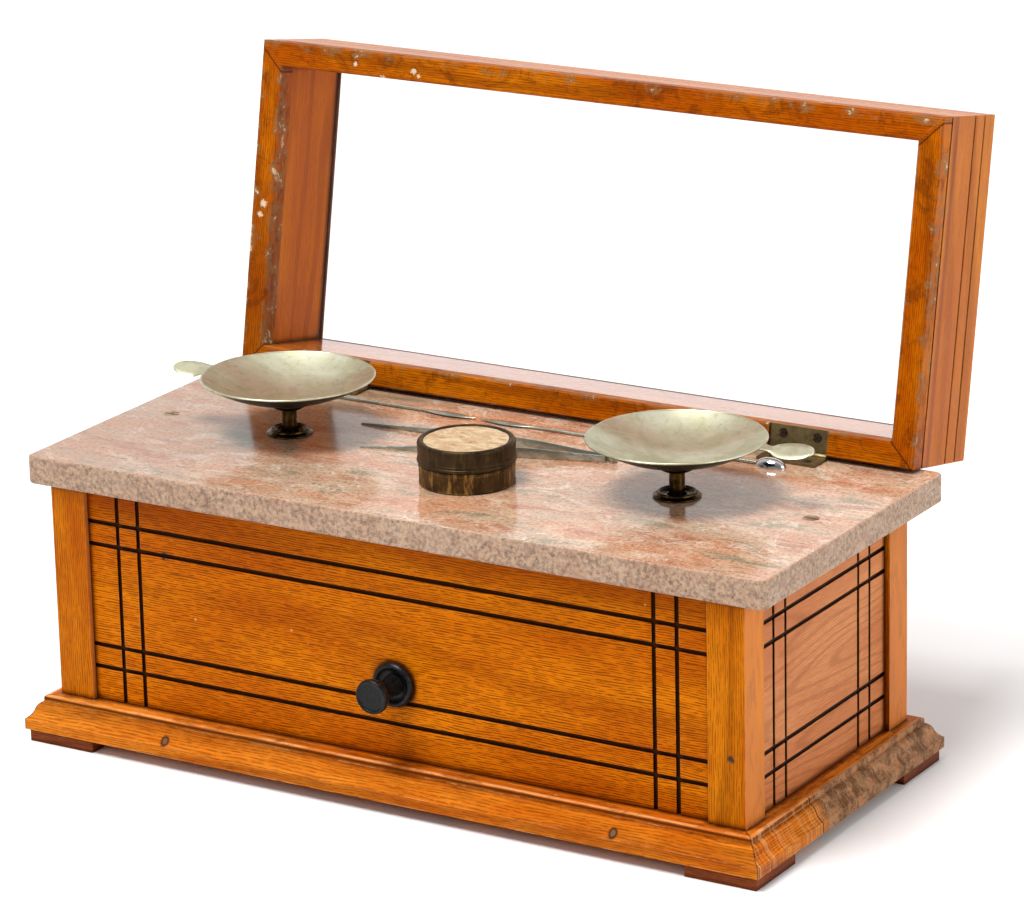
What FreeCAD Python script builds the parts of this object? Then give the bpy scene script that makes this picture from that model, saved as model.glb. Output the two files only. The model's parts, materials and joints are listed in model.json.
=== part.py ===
"""Marble-topped counter balance with a hinged, glazed lid (all lengths in millimetres).

An oak case holds an under-beam balance of the parallel-link kind.  Two columns come up through
the marble slab and carry the pans.  A knob on the front turns a cam that raises the arrest bar.
Frame: +X along the case, +Y towards the lid's hinges, +Z up, floor at z = 0.
Everything is drawn about the middle of the marble and moved to the row's origin on export.
"""
import math
import os

import FreeCAD
import Part

V = FreeCAD.Vector
X_AXIS, Y_AXIS, Z_AXIS = V(1, 0, 0), V(0, 1, 0), V(0, 0, 1)
SIDES = (-1, 1)

# ---- driving dimensions -------------------------------------------------------------------
MARBLE_LENGTH, MARBLE_DEPTH, MARBLE_THICK = 400.0, 177.0, 13.7
MARBLE_TOP = 142.3                    # height of the slab's upper face
MARBLE_CORNER, MARBLE_ARRIS = 4.5, 1.2
CASE_HALF_X, CASE_FRONT, CASE_REAR = 188.0, -85.0, 74.0
CASE_FLOOR = 22.4                     # top of the base board, where posts and panels stand
FOOT_HEIGHT, FOOT_SIZE, FOOT_INSET = 6.3, 37.0, 1.6
PLINTH_OUT = 13.2                     # how far the plinth moulding stands out of the case
POST_X, POST_Y = 19.0, 18.0
PANEL_RECESS, PANEL_THICK, PANEL_TONGUE = 3.0, 6.0, 5.0
GROOVE_WIDTH, GROOVE_DEPTH = 2.0, 1.3
GROOVE_LEVELS = (112.6, 101.4, 50.5, 39.4)
FRONT_GROOVES, SIDE_GROOVES = (152.2, 140.4), (46.8, 35.5)
RAIL_SIZE = 18.0                      # square top rails inside the case
BLOCK_SIZE, BLOCK_HEIGHT = 14.0, 40.0
MARBLE_SCREW_X = 176.5
# screws: head radius, shank radius
MARBLE_SCREW, FRAME_SCREW, LEAF_SCREW = (4.0, 2.0), (3.6, 2.0), (2.4, 1.2)
PAST = 1.0                            # how far cutting tools run past the faces they cut

ARM = 107.0                           # beam centre to each column
BEAM_Z, STAY_Z = 86.0, 40.0           # heights of the upper and lower pivots
BEAM_SWING = 1.6                      # degrees either way
BAR_HALF = 3.0                        # half thickness of beam and stay link
BAR_END, BAR_TIP_HALF = 5.0, 4.0      # bars beyond their end pins, and half height there
BEAM_DEEP_HALF_X, BEAM_LOW, BEAM_HIGH = 22.0, 77.4, 91.0    # the beam's deep middle
BEAM_HOLES, BEAM_HOLE_R, BEAM_HOLE_DROP = (40.0, 56.0, 72.0, 88.0), 2.8, 0.6
KNIFE_HALF, KNIFE_HEIGHT = 2.1, 3.6
BOB_STEM_R, BOB_FOOT, BOB_TOP = 1.2, 90.2, 108.0
BOB_R, BOB_LOW, BOB_HIGH = 4.5, 97.0, 102.0
PIN_R, RUN_GAP = 1.5, 0.05            # pivot pins and their running clearance
STAY_PIVOT_R = 2.0
FORK_HALF_X, FORK_HALF_Y, FORK_CHEEK = 6.5, 6.6, 3.0
FORK_HEAD_LOW, FORK_HEAD_HIGH = 93.0, 99.0
SPIGOT_R, SPIGOT_LENGTH = 1.8, 2.8    # joins each column to its pan support
COLUMN_R, COLUMN_HOLE_R = 3.7, 5.0
COLUMN_TOP = 154.4
COLLAR_R, COLLAR_HEIGHT = 11.3, 2.9
COLLAR_LIP_R, COLLAR_HOLLOW = 8.6, 1.3
SUPPORT_R, SUPPORT_TOP = 9.5, 158.2
PAN_R, PAN_RIM, PAN_BOTTOM, PAN_THICK = 42.3, 171.2, 158.4, 0.8
TAB_REACH = {-1: 61.5, 1: 67.0}
TAB_TURN = 8.0                        # degrees from the X axis
TAB_LOBE_HALF, TAB_LOBE_WIDE, TAB_NECK_WIDE, TAB_THICK = 10.5, 4.7, 2.4, 1.0    # half widths
CHEEK_HALF_X, CHEEK_IN, CHEEK_OUT, CHEEK_TOP = 18.0, 13.0, 18.0, 92.0
PLATE_HALF_X, PLATE_HALF_Y, PLATE_TOP = 42.0, 25.0, 28.4
FRAME_SCREW_X, FRAME_SCREW_Y = 33.0, 18.0
NOTCH_HALF, NOTCH_BELOW, BEARING_ABOVE = 6.0, 4.0, 2.0      # round the knife edge

KNOB_X, KNOB_Z = 2.5, 59.3
KNOB_FRONT, KNOB_R, SHAFT_R = -103.3, 8.4, 3.0
KNOB_SOCKET = 5.0                     # the spindle stops this far behind the knob's face
FLANGE_R = 11.0
CAM_R, CAM_THROW = 6.9, 2.12
CAM_HALF = 4.0
ARREST_LOW, ARREST_THICK, ARREST_LIFT = 65.0, 6.0, 2.9
ARREST_HALF_X, ARREST_HALF_Y = 32.0, 12.0
PAD_X, PAD_R, PAD_THICK = 25.0, 5.0, 3.0
GUIDES = ((-14.0, -9.5), (18.0, 9.5))
GUIDE_TOP, GUIDE_HEAD_R, GUIDE_HEAD = 84.0, 3.2, 2.0
SPRING_R, SPRING_BORE_R = 2.7, 2.0
BUSH_R = 6.0

LID_HALF_X, LID_SPAN, LID_DEPTH = 188.65, 164.7, 57.3
LID_WALL, LID_GAP = 12.2, 0.2         # wall thickness; gap over the marble when closed
RIM_DEPTH = 10.5                      # mitred rim that closes on the marble
GLASS_LEVEL, GLASS_THICK, REBATE = 52.0, 2.5, 5.2
OPEN_ANGLE = 100.93                   # degrees from closed to resting on the marble's rear edge
HINGE_Y, HINGE_Z = 78.7, MARBLE_TOP + 1.6
LID_REAR = HINGE_Y - 0.4
LEAF_X, LEAF_LENGTH, LEAF_THICK, KNUCKLE_R = 112.4, 31.0, 1.45, 1.55
LEAF_SCREW_IN = 8.2                   # leaf screws, in from the lid's rear face
HINGE_PIN_R = 0.8

TIN_X, TIN_Y, TIN_R, TIN_HEIGHT = 9.0, -25.0, 23.4, 21.0
TIN_JOINT = 10.6                      # height of the lid's lower edge
TOOL_LIFT = 0.1                       # loose tools lie this far above the slab
HEEL_X, HEEL_Y, HEEL_R = 55.0, 31.0, 2.2    # joined end of the tweezers
FAR_TIP, NEAR_TIP = (-84.0, 28.0), (-64.0, -4.0)
ARM_HALF, ARM_OFFSET, NEAR_START = 0.6, 1.6, 3.0    # blades' half thickness, gap and inner end
SPATULA_Y = 59.0
SPATULA_RANGE = {-1: (-174.0, -38.0), 1: (132.0, -35.5)}

LID_FRONT = LID_REAR - LID_SPAN
LID_BASE = MARBLE_TOP + LID_GAP
MARBLE_BOTTOM = MARBLE_TOP - MARBLE_THICK
PANEL_FRONT = CASE_FRONT + PANEL_RECESS
PANEL_REAR = CASE_REAR - PANEL_RECESS
PANEL_HALF_X = CASE_HALF_X - PANEL_RECESS


def lid_rear_reach():
    """Furthest +Y of the open lid: its top outer front corner turned back about the hinge."""
    angle = math.radians(OPEN_ANGLE)
    back = LID_FRONT - HINGE_Y
    up = LID_BASE + LID_DEPTH - HINGE_Z
    return HINGE_Y + back * math.cos(angle) + up * math.sin(angle)


ORIGIN_Y = (lid_rear_reach() + KNOB_FRONT) / 2


# ---- small tools --------------------------------------------------------------------------
def block(x0, x1, y0, y1, z0, z1):
    return Part.makeBox(x1 - x0, y1 - y0, z1 - z0, V(x0, y0, z0))


def rod(radius, start, end):
    start, end = V(*start), V(*end)
    return Part.makeCylinder(radius, (end - start).Length, start, end - start)


def fuse(first, *others):
    return first.multiFuse(list(others)).removeSplitter()


def outline(path, place):
    """Closed wire through (a, b) points; a third entry marks the middle of an arc."""
    edges = []
    path = list(path) + [path[0]]
    index = 0
    while index < len(path) - 1:
        if len(path[index + 1]) == 3:
            ends = [place(*point[:2]) for point in path[index:index + 3]]
            edges.append(Part.Arc(*ends).toShape())
            index += 2
        else:
            edges.append(Part.LineSegment(place(*path[index]), place(*path[index + 1])).toShape())
            index += 1
    return Part.Wire(edges)


def prism(path, place, along):
    return Part.Face(outline(path, place)).extrude(along)


def turned(path, x, y):
    """Solid of revolution about the upright line through (x, y); path holds (radius, z)."""
    face = Part.Face(outline(path, lambda radius, z: V(x + radius, y, z)))
    return face.revolve(V(x, y, 0), Z_AXIS, 360)


def turned_along_y(path, x, z):
    """Solid of revolution about the line through (x, z) along Y; path holds (radius, y)."""
    face = Part.Face(outline(path, lambda radius, y: V(x + radius, y, z)))
    return face.revolve(V(x, 0, z), Y_AXIS, 360)


def screw(x, y, top, head_r, shank_r, length, up=1):
    """Countersunk slotted screw; up is +1 for a head that faces up and -1 for one facing down."""
    sink = head_r - shank_r
    path = [(0, top), (head_r, top), (shank_r, top - up * sink), (shank_r, top - up * length)]
    path += [(0, top - up * length)]
    slot_depth = head_r * 0.3
    low, high = sorted((top - up * slot_depth, top + up))
    slot = block(x - head_r, x + head_r, y - head_r * 0.12, y + head_r * 0.12, low, high)
    return turned(path, x, y).cut(slot)


def screw_hole(x, y, top, head_r, shank_r, length, up=1):
    sink = head_r - shank_r
    path = [(0, top + up), (head_r, top + up), (head_r, top), (shank_r, top - up * sink)]
    path += [(shank_r, top - up * length), (0, top - up * length)]
    return turned(path, x, y)


def mitred_frame(x0, x1, y0, y1, section):
    """Four mitred lengths round a rectangle; section holds (distance inwards, z)."""
    depth = max(point[0] for point in section)
    z0 = min(point[1] for point in section) - 1
    height = max(point[1] for point in section) - z0 + 1
    places = {
        "front": (lambda s, z: V(x0, y0 + s, z), V(x1 - x0, 0, 0),
                  [(x0, y0), (x1, y0), (x1 - depth, y0 + depth), (x0 + depth, y0 + depth)]),
        "rear": (lambda s, z: V(x0, y1 - s, z), V(x1 - x0, 0, 0),
                 [(x0, y1), (x1, y1), (x1 - depth, y1 - depth), (x0 + depth, y1 - depth)]),
        "left": (lambda s, z: V(x0 + s, y0, z), V(0, y1 - y0, 0),
                 [(x0, y0), (x0, y1), (x0 + depth, y1 - depth), (x0 + depth, y0 + depth)]),
        "right": (lambda s, z: V(x1 - s, y0, z), V(0, y1 - y0, 0),
                  [(x1, y0), (x1, y1), (x1 - depth, y1 - depth), (x1 - depth, y0 + depth)]),
    }
    pieces = {}
    for side, (place, along, plan) in places.items():
        mitre = prism(plan, lambda x, y: V(x, y, z0), V(0, 0, height))
        pieces[side] = prism(section, place, along).common(mitre)
    return pieces


# ---- case ---------------------------------------------------------------------------------
def make_feet():
    out = PLINTH_OUT - FOOT_INSET
    x = CASE_HALF_X + out
    y_front, y_rear = CASE_FRONT - out, CASE_REAR + out
    feet = []
    for side in SIDES:
        x0, x1 = sorted((side * x, side * (x - FOOT_SIZE)))
        feet.append(block(x0, x1, y_front, y_front + FOOT_SIZE, 0, FOOT_HEIGHT))
        feet.append(block(x0, x1, y_rear - FOOT_SIZE, y_rear, 0, FOOT_HEIGHT))
    return Part.makeCompound(feet)


def make_base_board():
    board = block(-CASE_HALF_X, CASE_HALF_X, CASE_FRONT, CASE_REAR, FOOT_HEIGHT, CASE_FLOOR)
    for x, y in frame_screw_places():
        board = board.cut(rod(2.0, (x, y, CASE_FLOOR - 12), (x, y, CASE_FLOOR)))
    return board


def make_plinth():
    """Moulding round the base: low fascia, ogee slope, small upper fascia, flat top."""
    low, shoulder = FOOT_HEIGHT, 11.4
    section = [(0, low), (0, shoulder), (1.9, 13.0, "via"), (3.6, 15.6), (4.9, 18.2, "via"),
               (7.0, 19.6), (7.0, CASE_FLOOR - 0.8), (7.8, CASE_FLOOR),
               (PLINTH_OUT, CASE_FLOOR), (PLINTH_OUT, low)]
    pieces = mitred_frame(-CASE_HALF_X - PLINTH_OUT, CASE_HALF_X + PLINTH_OUT,
                          CASE_FRONT - PLINTH_OUT, CASE_REAR + PLINTH_OUT, section)
    return {"plinth_" + side: piece for side, piece in pieces.items()}


def grooved(panel, uprights, levels, face, inwards, across):
    """Cut upright and level grooves in a panel; across is "x" or "y", the panel's long way."""
    box = panel.BoundBox
    f0, f1 = sorted((face, face + inwards * GROOVE_DEPTH))
    half = GROOVE_WIDTH / 2
    cuts = []
    for at in uprights:
        if across == "x":
            cuts.append(block(at - half, at + half, f0, f1, box.ZMin, box.ZMax))
        else:
            cuts.append(block(f0, f1, at - half, at + half, box.ZMin, box.ZMax))
    for z in levels:
        if across == "x":
            cuts.append(block(box.XMin, box.XMax, f0, f1, z - half, z + half))
        else:
            cuts.append(block(f0, f1, box.YMin, box.YMax, z - half, z + half))
    return panel.cut(Part.makeCompound(cuts))


def make_panels():
    end_x = CASE_HALF_X - POST_X + PANEL_TONGUE
    y0, y1 = CASE_FRONT + POST_Y - PANEL_TONGUE, CASE_REAR - POST_Y + PANEL_TONGUE
    middle = (CASE_FRONT + CASE_REAR) / 2
    low, high = CASE_FLOOR, MARBLE_BOTTOM
    front = block(-end_x, end_x, PANEL_FRONT, PANEL_FRONT + PANEL_THICK, low, high)
    front = grooved(front, [s * at for s in SIDES for at in FRONT_GROOVES], GROOVE_LEVELS,
                    PANEL_FRONT, 1, "x")
    bush_hole = rod(BUSH_R, (KNOB_X, PANEL_FRONT - PAST, KNOB_Z),
                    (KNOB_X, PANEL_FRONT + PANEL_THICK + PAST, KNOB_Z))
    panels = {
        "panel_front": front.cut(bush_hole),
        "panel_rear": block(-end_x, end_x, PANEL_REAR - PANEL_THICK, PANEL_REAR, low, high),
    }
    for side, name in ((-1, "panel_left"), (1, "panel_right")):
        x0, x1 = sorted((side * PANEL_HALF_X, side * (PANEL_HALF_X - PANEL_THICK)))
        panel = block(x0, x1, y0, y1, low, high)
        uprights = [middle + s * at for s in SIDES for at in SIDE_GROOVES]
        panels[name] = grooved(panel, uprights, GROOVE_LEVELS, side * PANEL_HALF_X, -side, "y")
    return panels


def make_corner_posts(panels):
    """Square posts, each grooved to take the ends of two panels."""
    posts = []
    for side in SIDES:
        x0, x1 = sorted((side * CASE_HALF_X, side * (CASE_HALF_X - POST_X)))
        for y0, y1 in ((CASE_FRONT, CASE_FRONT + POST_Y), (CASE_REAR - POST_Y, CASE_REAR)):
            post = block(x0, x1, y0, y1, CASE_FLOOR, MARBLE_BOTTOM)
            for panel in panels.values():
                box = panel.BoundBox
                post = post.cut(block(box.XMin, box.XMax, box.YMin, box.YMax,
                                      box.ZMin - 1, box.ZMax + 1))
            posts.append(post)
    return Part.makeCompound(posts)


def make_top_rails():
    """Rails behind the panels that the marble lies on and is screwed to."""
    low, high = MARBLE_BOTTOM - RAIL_SIZE, MARBLE_BOTTOM
    front, rear = PANEL_FRONT + PANEL_THICK, PANEL_REAR - PANEL_THICK
    end_x = CASE_HALF_X - POST_X
    side_x = PANEL_HALF_X - PANEL_THICK
    rails = [block(-end_x, end_x, front, front + RAIL_SIZE, low, high),
             block(-end_x, end_x, rear - RAIL_SIZE, rear, low, high)]
    for side in SIDES:
        x0, x1 = sorted((side * side_x, side * (side_x - RAIL_SIZE)))
        rail = block(x0, x1, front + RAIL_SIZE, rear - RAIL_SIZE, low, high)
        shank = rod(2.0, (side * MARBLE_SCREW_X, 0, low - 1), (side * MARBLE_SCREW_X, 0, high + 1))
        rails.append(rail.cut(shank))
    return Part.makeCompound(rails)


def make_glue_blocks():
    blocks = []
    front, rear = PANEL_FRONT + PANEL_THICK, PANEL_REAR - PANEL_THICK
    x_out = CASE_HALF_X - POST_X
    for side in SIDES:
        x0, x1 = sorted((side * x_out, side * (x_out - BLOCK_SIZE)))
        for y0, y1 in ((front, front + BLOCK_SIZE), (rear - BLOCK_SIZE, rear)):
            blocks.append(block(x0, x1, y0, y1, CASE_FLOOR, CASE_FLOOR + BLOCK_HEIGHT))
    return Part.makeCompound(blocks)


# ---- marble slab --------------------------------------------------------------------------
def make_marble_top():
    half_x, half_y = MARBLE_LENGTH / 2, MARBLE_DEPTH / 2
    slab = block(-half_x, half_x, -half_y, half_y, MARBLE_BOTTOM, MARBLE_TOP)
    upright = [e for e in slab.Edges if abs(e.tangentAt(e.FirstParameter).z) > 0.9]
    slab = slab.makeFillet(MARBLE_CORNER, upright)
    level = [e for e in slab.Edges if e.BoundBox.ZLength < 0.01]
    slab = slab.makeFillet(MARBLE_ARRIS, level)
    for side in SIDES:
        slab = slab.cut(rod(COLUMN_HOLE_R, (side * ARM, 0, MARBLE_BOTTOM - 1),
                            (side * ARM, 0, MARBLE_TOP + 1)))
        slab = slab.cut(screw_hole(side * MARBLE_SCREW_X, 0, MARBLE_TOP, *MARBLE_SCREW,
                                   MARBLE_THICK + PAST))
        for x in leaf_screw_places(side):
            slab = slab.cut(rod(1.2, (x, LID_REAR - LEAF_SCREW_IN, MARBLE_TOP - 7),
                                (x, LID_REAR - LEAF_SCREW_IN, MARBLE_TOP + 1)))
    return slab


def make_marble_screws():
    return Part.makeCompound([screw(side * MARBLE_SCREW_X, 0, MARBLE_TOP, *MARBLE_SCREW, 28.0)
                              for side in SIDES])


def make_column_collars():
    """Low turned brass rings round the columns, each with a flange, a raised lip and a hollow."""
    bore, low = COLUMN_HOLE_R - 0.3, MARBLE_TOP
    path = [(bore, low), (COLLAR_R - 0.4, low), (COLLAR_R, low + 0.5), (COLLAR_R - 0.3, low + 1.1),
            (COLLAR_LIP_R + 1.0, low + 1.9), (COLLAR_LIP_R + 0.4, low + COLLAR_HEIGHT - 0.3),
            (COLLAR_LIP_R, low + COLLAR_HEIGHT), (COLLAR_LIP_R - 0.7, low + COLLAR_HEIGHT - 0.3),
            (COLLAR_LIP_R - 1.6, low + COLLAR_HOLLOW + 0.2), (bore, low + COLLAR_HOLLOW)]
    return Part.makeCompound([turned(path, side * ARM, 0) for side in SIDES])


# ---- fixed ironwork of the balance --------------------------------------------------------
def frame_screw_places():
    return [(side * FRAME_SCREW_X, end * FRAME_SCREW_Y) for side in SIDES for end in SIDES]


def make_balance_frame():
    """Cast base plate with two cheeks that carry the fulcrum, the arrest shaft and the stay."""
    plate = block(-PLATE_HALF_X, PLATE_HALF_X, -PLATE_HALF_Y, PLATE_HALF_Y, CASE_FLOOR, PLATE_TOP)
    cheeks = []
    for side in SIDES:
        y0, y1 = sorted((side * CHEEK_IN, side * CHEEK_OUT))
        cheek = block(-CHEEK_HALF_X, CHEEK_HALF_X, y0, y1, PLATE_TOP, CHEEK_TOP)
        notch = block(-NOTCH_HALF, NOTCH_HALF, y0 - PAST, y1 + PAST,
                      BEAM_Z - NOTCH_BELOW, CHEEK_TOP + PAST)
        cheeks.append(cheek.cut(notch))
    frame = fuse(plate, *cheeks)
    reach = CHEEK_OUT + PAST
    frame = frame.cut(rod(SHAFT_R + RUN_GAP, (KNOB_X, -reach, KNOB_Z), (KNOB_X, reach, KNOB_Z)))
    frame = frame.cut(rod(STAY_PIVOT_R, (0, -reach, STAY_Z), (0, reach, STAY_Z)))
    for x, y in GUIDES:
        frame = frame.cut(rod(PIN_R, (x, y, CASE_FLOOR), (x, y, PLATE_TOP + PAST)))
    for x, y in frame_screw_places():
        frame = frame.cut(screw_hole(x, y, PLATE_TOP, *FRAME_SCREW, PLATE_TOP - CASE_FLOOR + PAST))
    return frame


def make_frame_screws():
    return Part.makeCompound([screw(x, y, PLATE_TOP, *FRAME_SCREW, 16.0)
                              for x, y in frame_screw_places()])


def make_fulcrum_bearings():
    """Agate V blocks in the notches of the two cheeks."""
    blocks = []
    for side in SIDES:
        y0, y1 = sorted((side * CHEEK_IN, side * CHEEK_OUT))
        body = block(-NOTCH_HALF, NOTCH_HALF, y0, y1, BEAM_Z - NOTCH_BELOW, BEAM_Z + BEARING_ABOVE)
        groove_top = BEAM_Z + BEARING_ABOVE + 0.3
        groove = [(0, BEAM_Z - RUN_GAP), (4, groove_top), (-4, groove_top)]
        cutter = prism(groove, lambda x, z: V(x, y0 - PAST, z), V(0, y1 - y0 + 2 * PAST, 0))
        blocks.append(body.cut(cutter))
    return Part.makeCompound(blocks)


def make_stay_pivot():
    return rod(STAY_PIVOT_R, (0, -CHEEK_OUT, STAY_Z), (0, CHEEK_OUT, STAY_Z))


# ---- swinging parts -----------------------------------------------------------------------
def make_beam():
    """Flat bar, deepest in the middle and below its pivots, pierced with round holes."""
    end, deep = ARM + BAR_END, BEAM_DEEP_HALF_X
    low, high = BEAM_Z - BAR_TIP_HALF, BEAM_Z + BAR_TIP_HALF
    path = [(-end, low), (-deep, BEAM_LOW), (deep, BEAM_LOW), (end, low), (end, high),
            (deep, BEAM_HIGH), (-deep, BEAM_HIGH), (-end, high)]
    beam = prism(path, lambda x, z: V(x, -BAR_HALF, z), V(0, 2 * BAR_HALF, 0))
    reach, hole_z = BAR_HALF + PAST, BEAM_Z - BEAM_HOLE_DROP
    for side in SIDES:
        beam = beam.cut(rod(PIN_R, (side * ARM, -reach, BEAM_Z), (side * ARM, reach, BEAM_Z)))
        for at in BEAM_HOLES:
            x = side * at
            beam = beam.cut(rod(BEAM_HOLE_R, (x, -reach, hole_z), (x, reach, hole_z)))
    beam = beam.cut(rod(BOB_STEM_R, (0, 0, BOB_FOOT), (0, 0, BEAM_HIGH + PAST)))
    return beam.cut(make_fulcrum_knife())


def make_fulcrum_knife():
    """Three-sided steel edge through the beam; its lower edge is the axis of swing."""
    path = [(0, BEAM_Z), (KNIFE_HALF, BEAM_Z + KNIFE_HEIGHT), (-KNIFE_HALF, BEAM_Z + KNIFE_HEIGHT)]
    reach = CHEEK_OUT - 0.5
    return prism(path, lambda x, z: V(x, -reach, z), V(0, 2 * reach, 0))


def fork_pins(level):
    return Part.makeCompound([rod(PIN_R, (side * ARM, -FORK_HALF_Y, level),
                                  (side * ARM, FORK_HALF_Y, level)) for side in SIDES])


def make_gravity_bob():
    """Threaded stem with a round nut, for setting how lively the beam is."""
    stem = rod(BOB_STEM_R, (0, 0, BOB_FOOT), (0, 0, BOB_TOP))
    return fuse(stem, rod(BOB_R, (0, 0, BOB_LOW), (0, 0, BOB_HIGH)))


def make_stay_link():
    end, reach = ARM + BAR_END, BAR_HALF + PAST
    link = block(-end, end, -BAR_HALF, BAR_HALF, STAY_Z - BAR_TIP_HALF, STAY_Z + BAR_TIP_HALF)
    link = link.cut(rod(STAY_PIVOT_R + RUN_GAP, (0, -reach, STAY_Z), (0, reach, STAY_Z)))
    for side in SIDES:
        link = link.cut(rod(PIN_R, (side * ARM, -reach, STAY_Z), (side * ARM, reach, STAY_Z)))
    return link


def make_column(side):
    """Fork that straddles beam and stay link, topped by the round column."""
    x = side * ARM
    x0, x1 = x - FORK_HALF_X, x + FORK_HALF_X
    cheeks = [block(x0, x1, y0, y0 + FORK_CHEEK, STAY_Z - 6, FORK_HEAD_LOW + PAST)
              for y0 in (-FORK_HALF_Y, FORK_HALF_Y - FORK_CHEEK)]
    head = block(x0, x1, -FORK_HALF_Y, FORK_HALF_Y, FORK_HEAD_LOW, FORK_HEAD_HIGH)
    shaft = rod(COLUMN_R, (x, 0, FORK_HEAD_HIGH - PAST), (x, 0, COLUMN_TOP))
    spigot = rod(SPIGOT_R, (x, 0, COLUMN_TOP - PAST), (x, 0, COLUMN_TOP + SPIGOT_LENGTH))
    column = fuse(fuse(head, *cheeks, shaft), spigot)
    reach = FORK_HALF_Y + PAST
    for level in (BEAM_Z, STAY_Z):
        column = column.cut(rod(PIN_R + RUN_GAP, (x, -reach, level), (x, reach, level)))
    return column


def make_pan_support(side):
    """Shallow turned dish with a rounded underside on top of the column."""
    low = COLUMN_TOP
    path = [(0, low + SPIGOT_LENGTH), (SPIGOT_R, low + SPIGOT_LENGTH), (SPIGOT_R, low),
            (COLUMN_R + 0.5, low),
            (7.4, low + 0.9, "via"), (SUPPORT_R, low + 2.8), (SUPPORT_R, SUPPORT_TOP), (0, SUPPORT_TOP)]
    return turned(path, side * ARM, 0)


def make_pan(side):
    """Shallow spun dish with a leaf-shaped thumb tab."""
    deep = PAN_RIM - PAN_BOTTOM
    sphere = (PAN_R ** 2 + deep ** 2) / (2 * deep)
    centre = PAN_BOTTOM + sphere
    inner = sphere - PAN_THICK
    rim_inner = math.sqrt(inner ** 2 - (centre - PAN_RIM) ** 2)

    def on_arc(radius, share):
        angle = share * math.asin(PAN_R / sphere)
        return radius * math.sin(angle), centre - radius * math.cos(angle), "via"

    path = [(0, PAN_BOTTOM), on_arc(sphere, 0.5), (PAN_R, PAN_RIM), (rim_inner, PAN_RIM),
            on_arc(inner, 0.5), (0, PAN_BOTTOM + PAN_THICK)]
    x = side * ARM
    dish = turned(path, x, 0)
    lobe_x, low = TAB_REACH[side] - TAB_LOBE_HALF, PAN_RIM - PAN_THICK
    lobe_ellipse = Part.Ellipse(V(lobe_x, 0, low), TAB_LOBE_HALF, TAB_LOBE_WIDE)
    lobe = Part.Face(Part.Wire([lobe_ellipse.toShape()])).extrude(V(0, 0, TAB_THICK))
    neck = block(PAN_R - 1.2, lobe_x, -TAB_NECK_WIDE, TAB_NECK_WIDE, low, low + TAB_THICK)
    tab = fuse(lobe, neck)
    tab.rotate(V(0, 0, 0), Z_AXIS, TAB_TURN if side > 0 else 180 + TAB_TURN)
    tab.translate(V(x, 0, 0))
    return fuse(dish, tab)


# ---- arrest -------------------------------------------------------------------------------
def make_knob_flange():
    """Dished rosette and bush that the knob's spindle runs in."""
    face = PANEL_FRONT
    bore = SHAFT_R + RUN_GAP
    path = [(bore, face + PANEL_THICK), (BUSH_R, face + PANEL_THICK), (BUSH_R, face),
            (FLANGE_R - 0.8, face),
            (FLANGE_R, face - 1.4), (FLANGE_R - 0.9, face - 3.4), (FLANGE_R - 2.2, face - 3.6),
            (7.0, face - 1.8), (bore, face - 1.5)]
    return turned_along_y(path, KNOB_X, KNOB_Z)


def make_arrest_knob():
    """Ebonised button with a waisted neck; the spindle ends inside it."""
    front, back = KNOB_FRONT, PANEL_FRONT - 2.3
    inside = front + KNOB_SOCKET
    path = [(0, front + 0.5), (KNOB_R - 1.0, front), (KNOB_R, front + 0.8), (KNOB_R - 0.4, front + 4.4),
            (4.4, front + 7.6), (4.2, front + 13.0, "via"), (5.4, back), (SHAFT_R, back),
            (SHAFT_R, inside), (0, inside)]
    return turned_along_y(path, KNOB_X, KNOB_Z)


def make_arrest_shaft():
    start = KNOB_FRONT + KNOB_SOCKET
    return rod(SHAFT_R, (KNOB_X, start, KNOB_Z), (KNOB_X, CHEEK_OUT + 1.5, KNOB_Z))


def make_arrest_cam():
    """Eccentric disc; its centre rises past the spindle as the knob turns a quarter."""
    drop = CAM_THROW * math.sin(math.radians(45))
    x, z, reach = KNOB_X - drop, KNOB_Z - drop, CAM_HALF + PAST
    disc = rod(CAM_R, (x, -CAM_HALF, z), (x, CAM_HALF, z))
    return disc.cut(rod(SHAFT_R, (KNOB_X, -reach, KNOB_Z), (KNOB_X, reach, KNOB_Z)))


def make_arrest_bar():
    low, high = ARREST_LOW, ARREST_LOW + ARREST_THICK
    bar = block(-ARREST_HALF_X, ARREST_HALF_X, -ARREST_HALF_Y, ARREST_HALF_Y, low, high)
    for x, y in GUIDES:
        bar = bar.cut(rod(PIN_R + 2 * RUN_GAP, (x, y, low - PAST), (x, y, high + PAST)))
    return bar


def make_arrest_pads():
    low = ARREST_LOW + ARREST_THICK
    return Part.makeCompound([rod(PAD_R, (side * PAD_X, 0, low), (side * PAD_X, 0, low + PAD_THICK))
                              for side in SIDES])


def make_arrest_guides():
    """Two upright pins with heads; the arrest bar slides on them."""
    pins = []
    for x, y in GUIDES:
        pin = rod(PIN_R, (x, y, CASE_FLOOR), (x, y, GUIDE_TOP))
        head = rod(GUIDE_HEAD_R, (x, y, GUIDE_TOP - GUIDE_HEAD), (x, y, GUIDE_TOP))
        pins.append(fuse(pin, head))
    return Part.makeCompound(pins)


def make_arrest_springs():
    """Return springs between the bar and the heads of the guide pins, as sleeves of coil size."""
    low, high = ARREST_LOW + ARREST_THICK, GUIDE_TOP - GUIDE_HEAD
    sleeves = []
    for x, y in GUIDES:
        bore = rod(SPRING_BORE_R, (x, y, low - PAST), (x, y, high + PAST))
        sleeves.append(rod(SPRING_R, (x, y, low), (x, y, high)).cut(bore))
    return Part.makeCompound(sleeves)


# ---- hinged, glazed lid (drawn closed, then opened) ---------------------------------------
def opened(shape):
    shape = shape.copy()
    shape.rotate(V(0, HINGE_Y, HINGE_Z), X_AXIS, -OPEN_ANGLE)
    return shape


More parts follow.
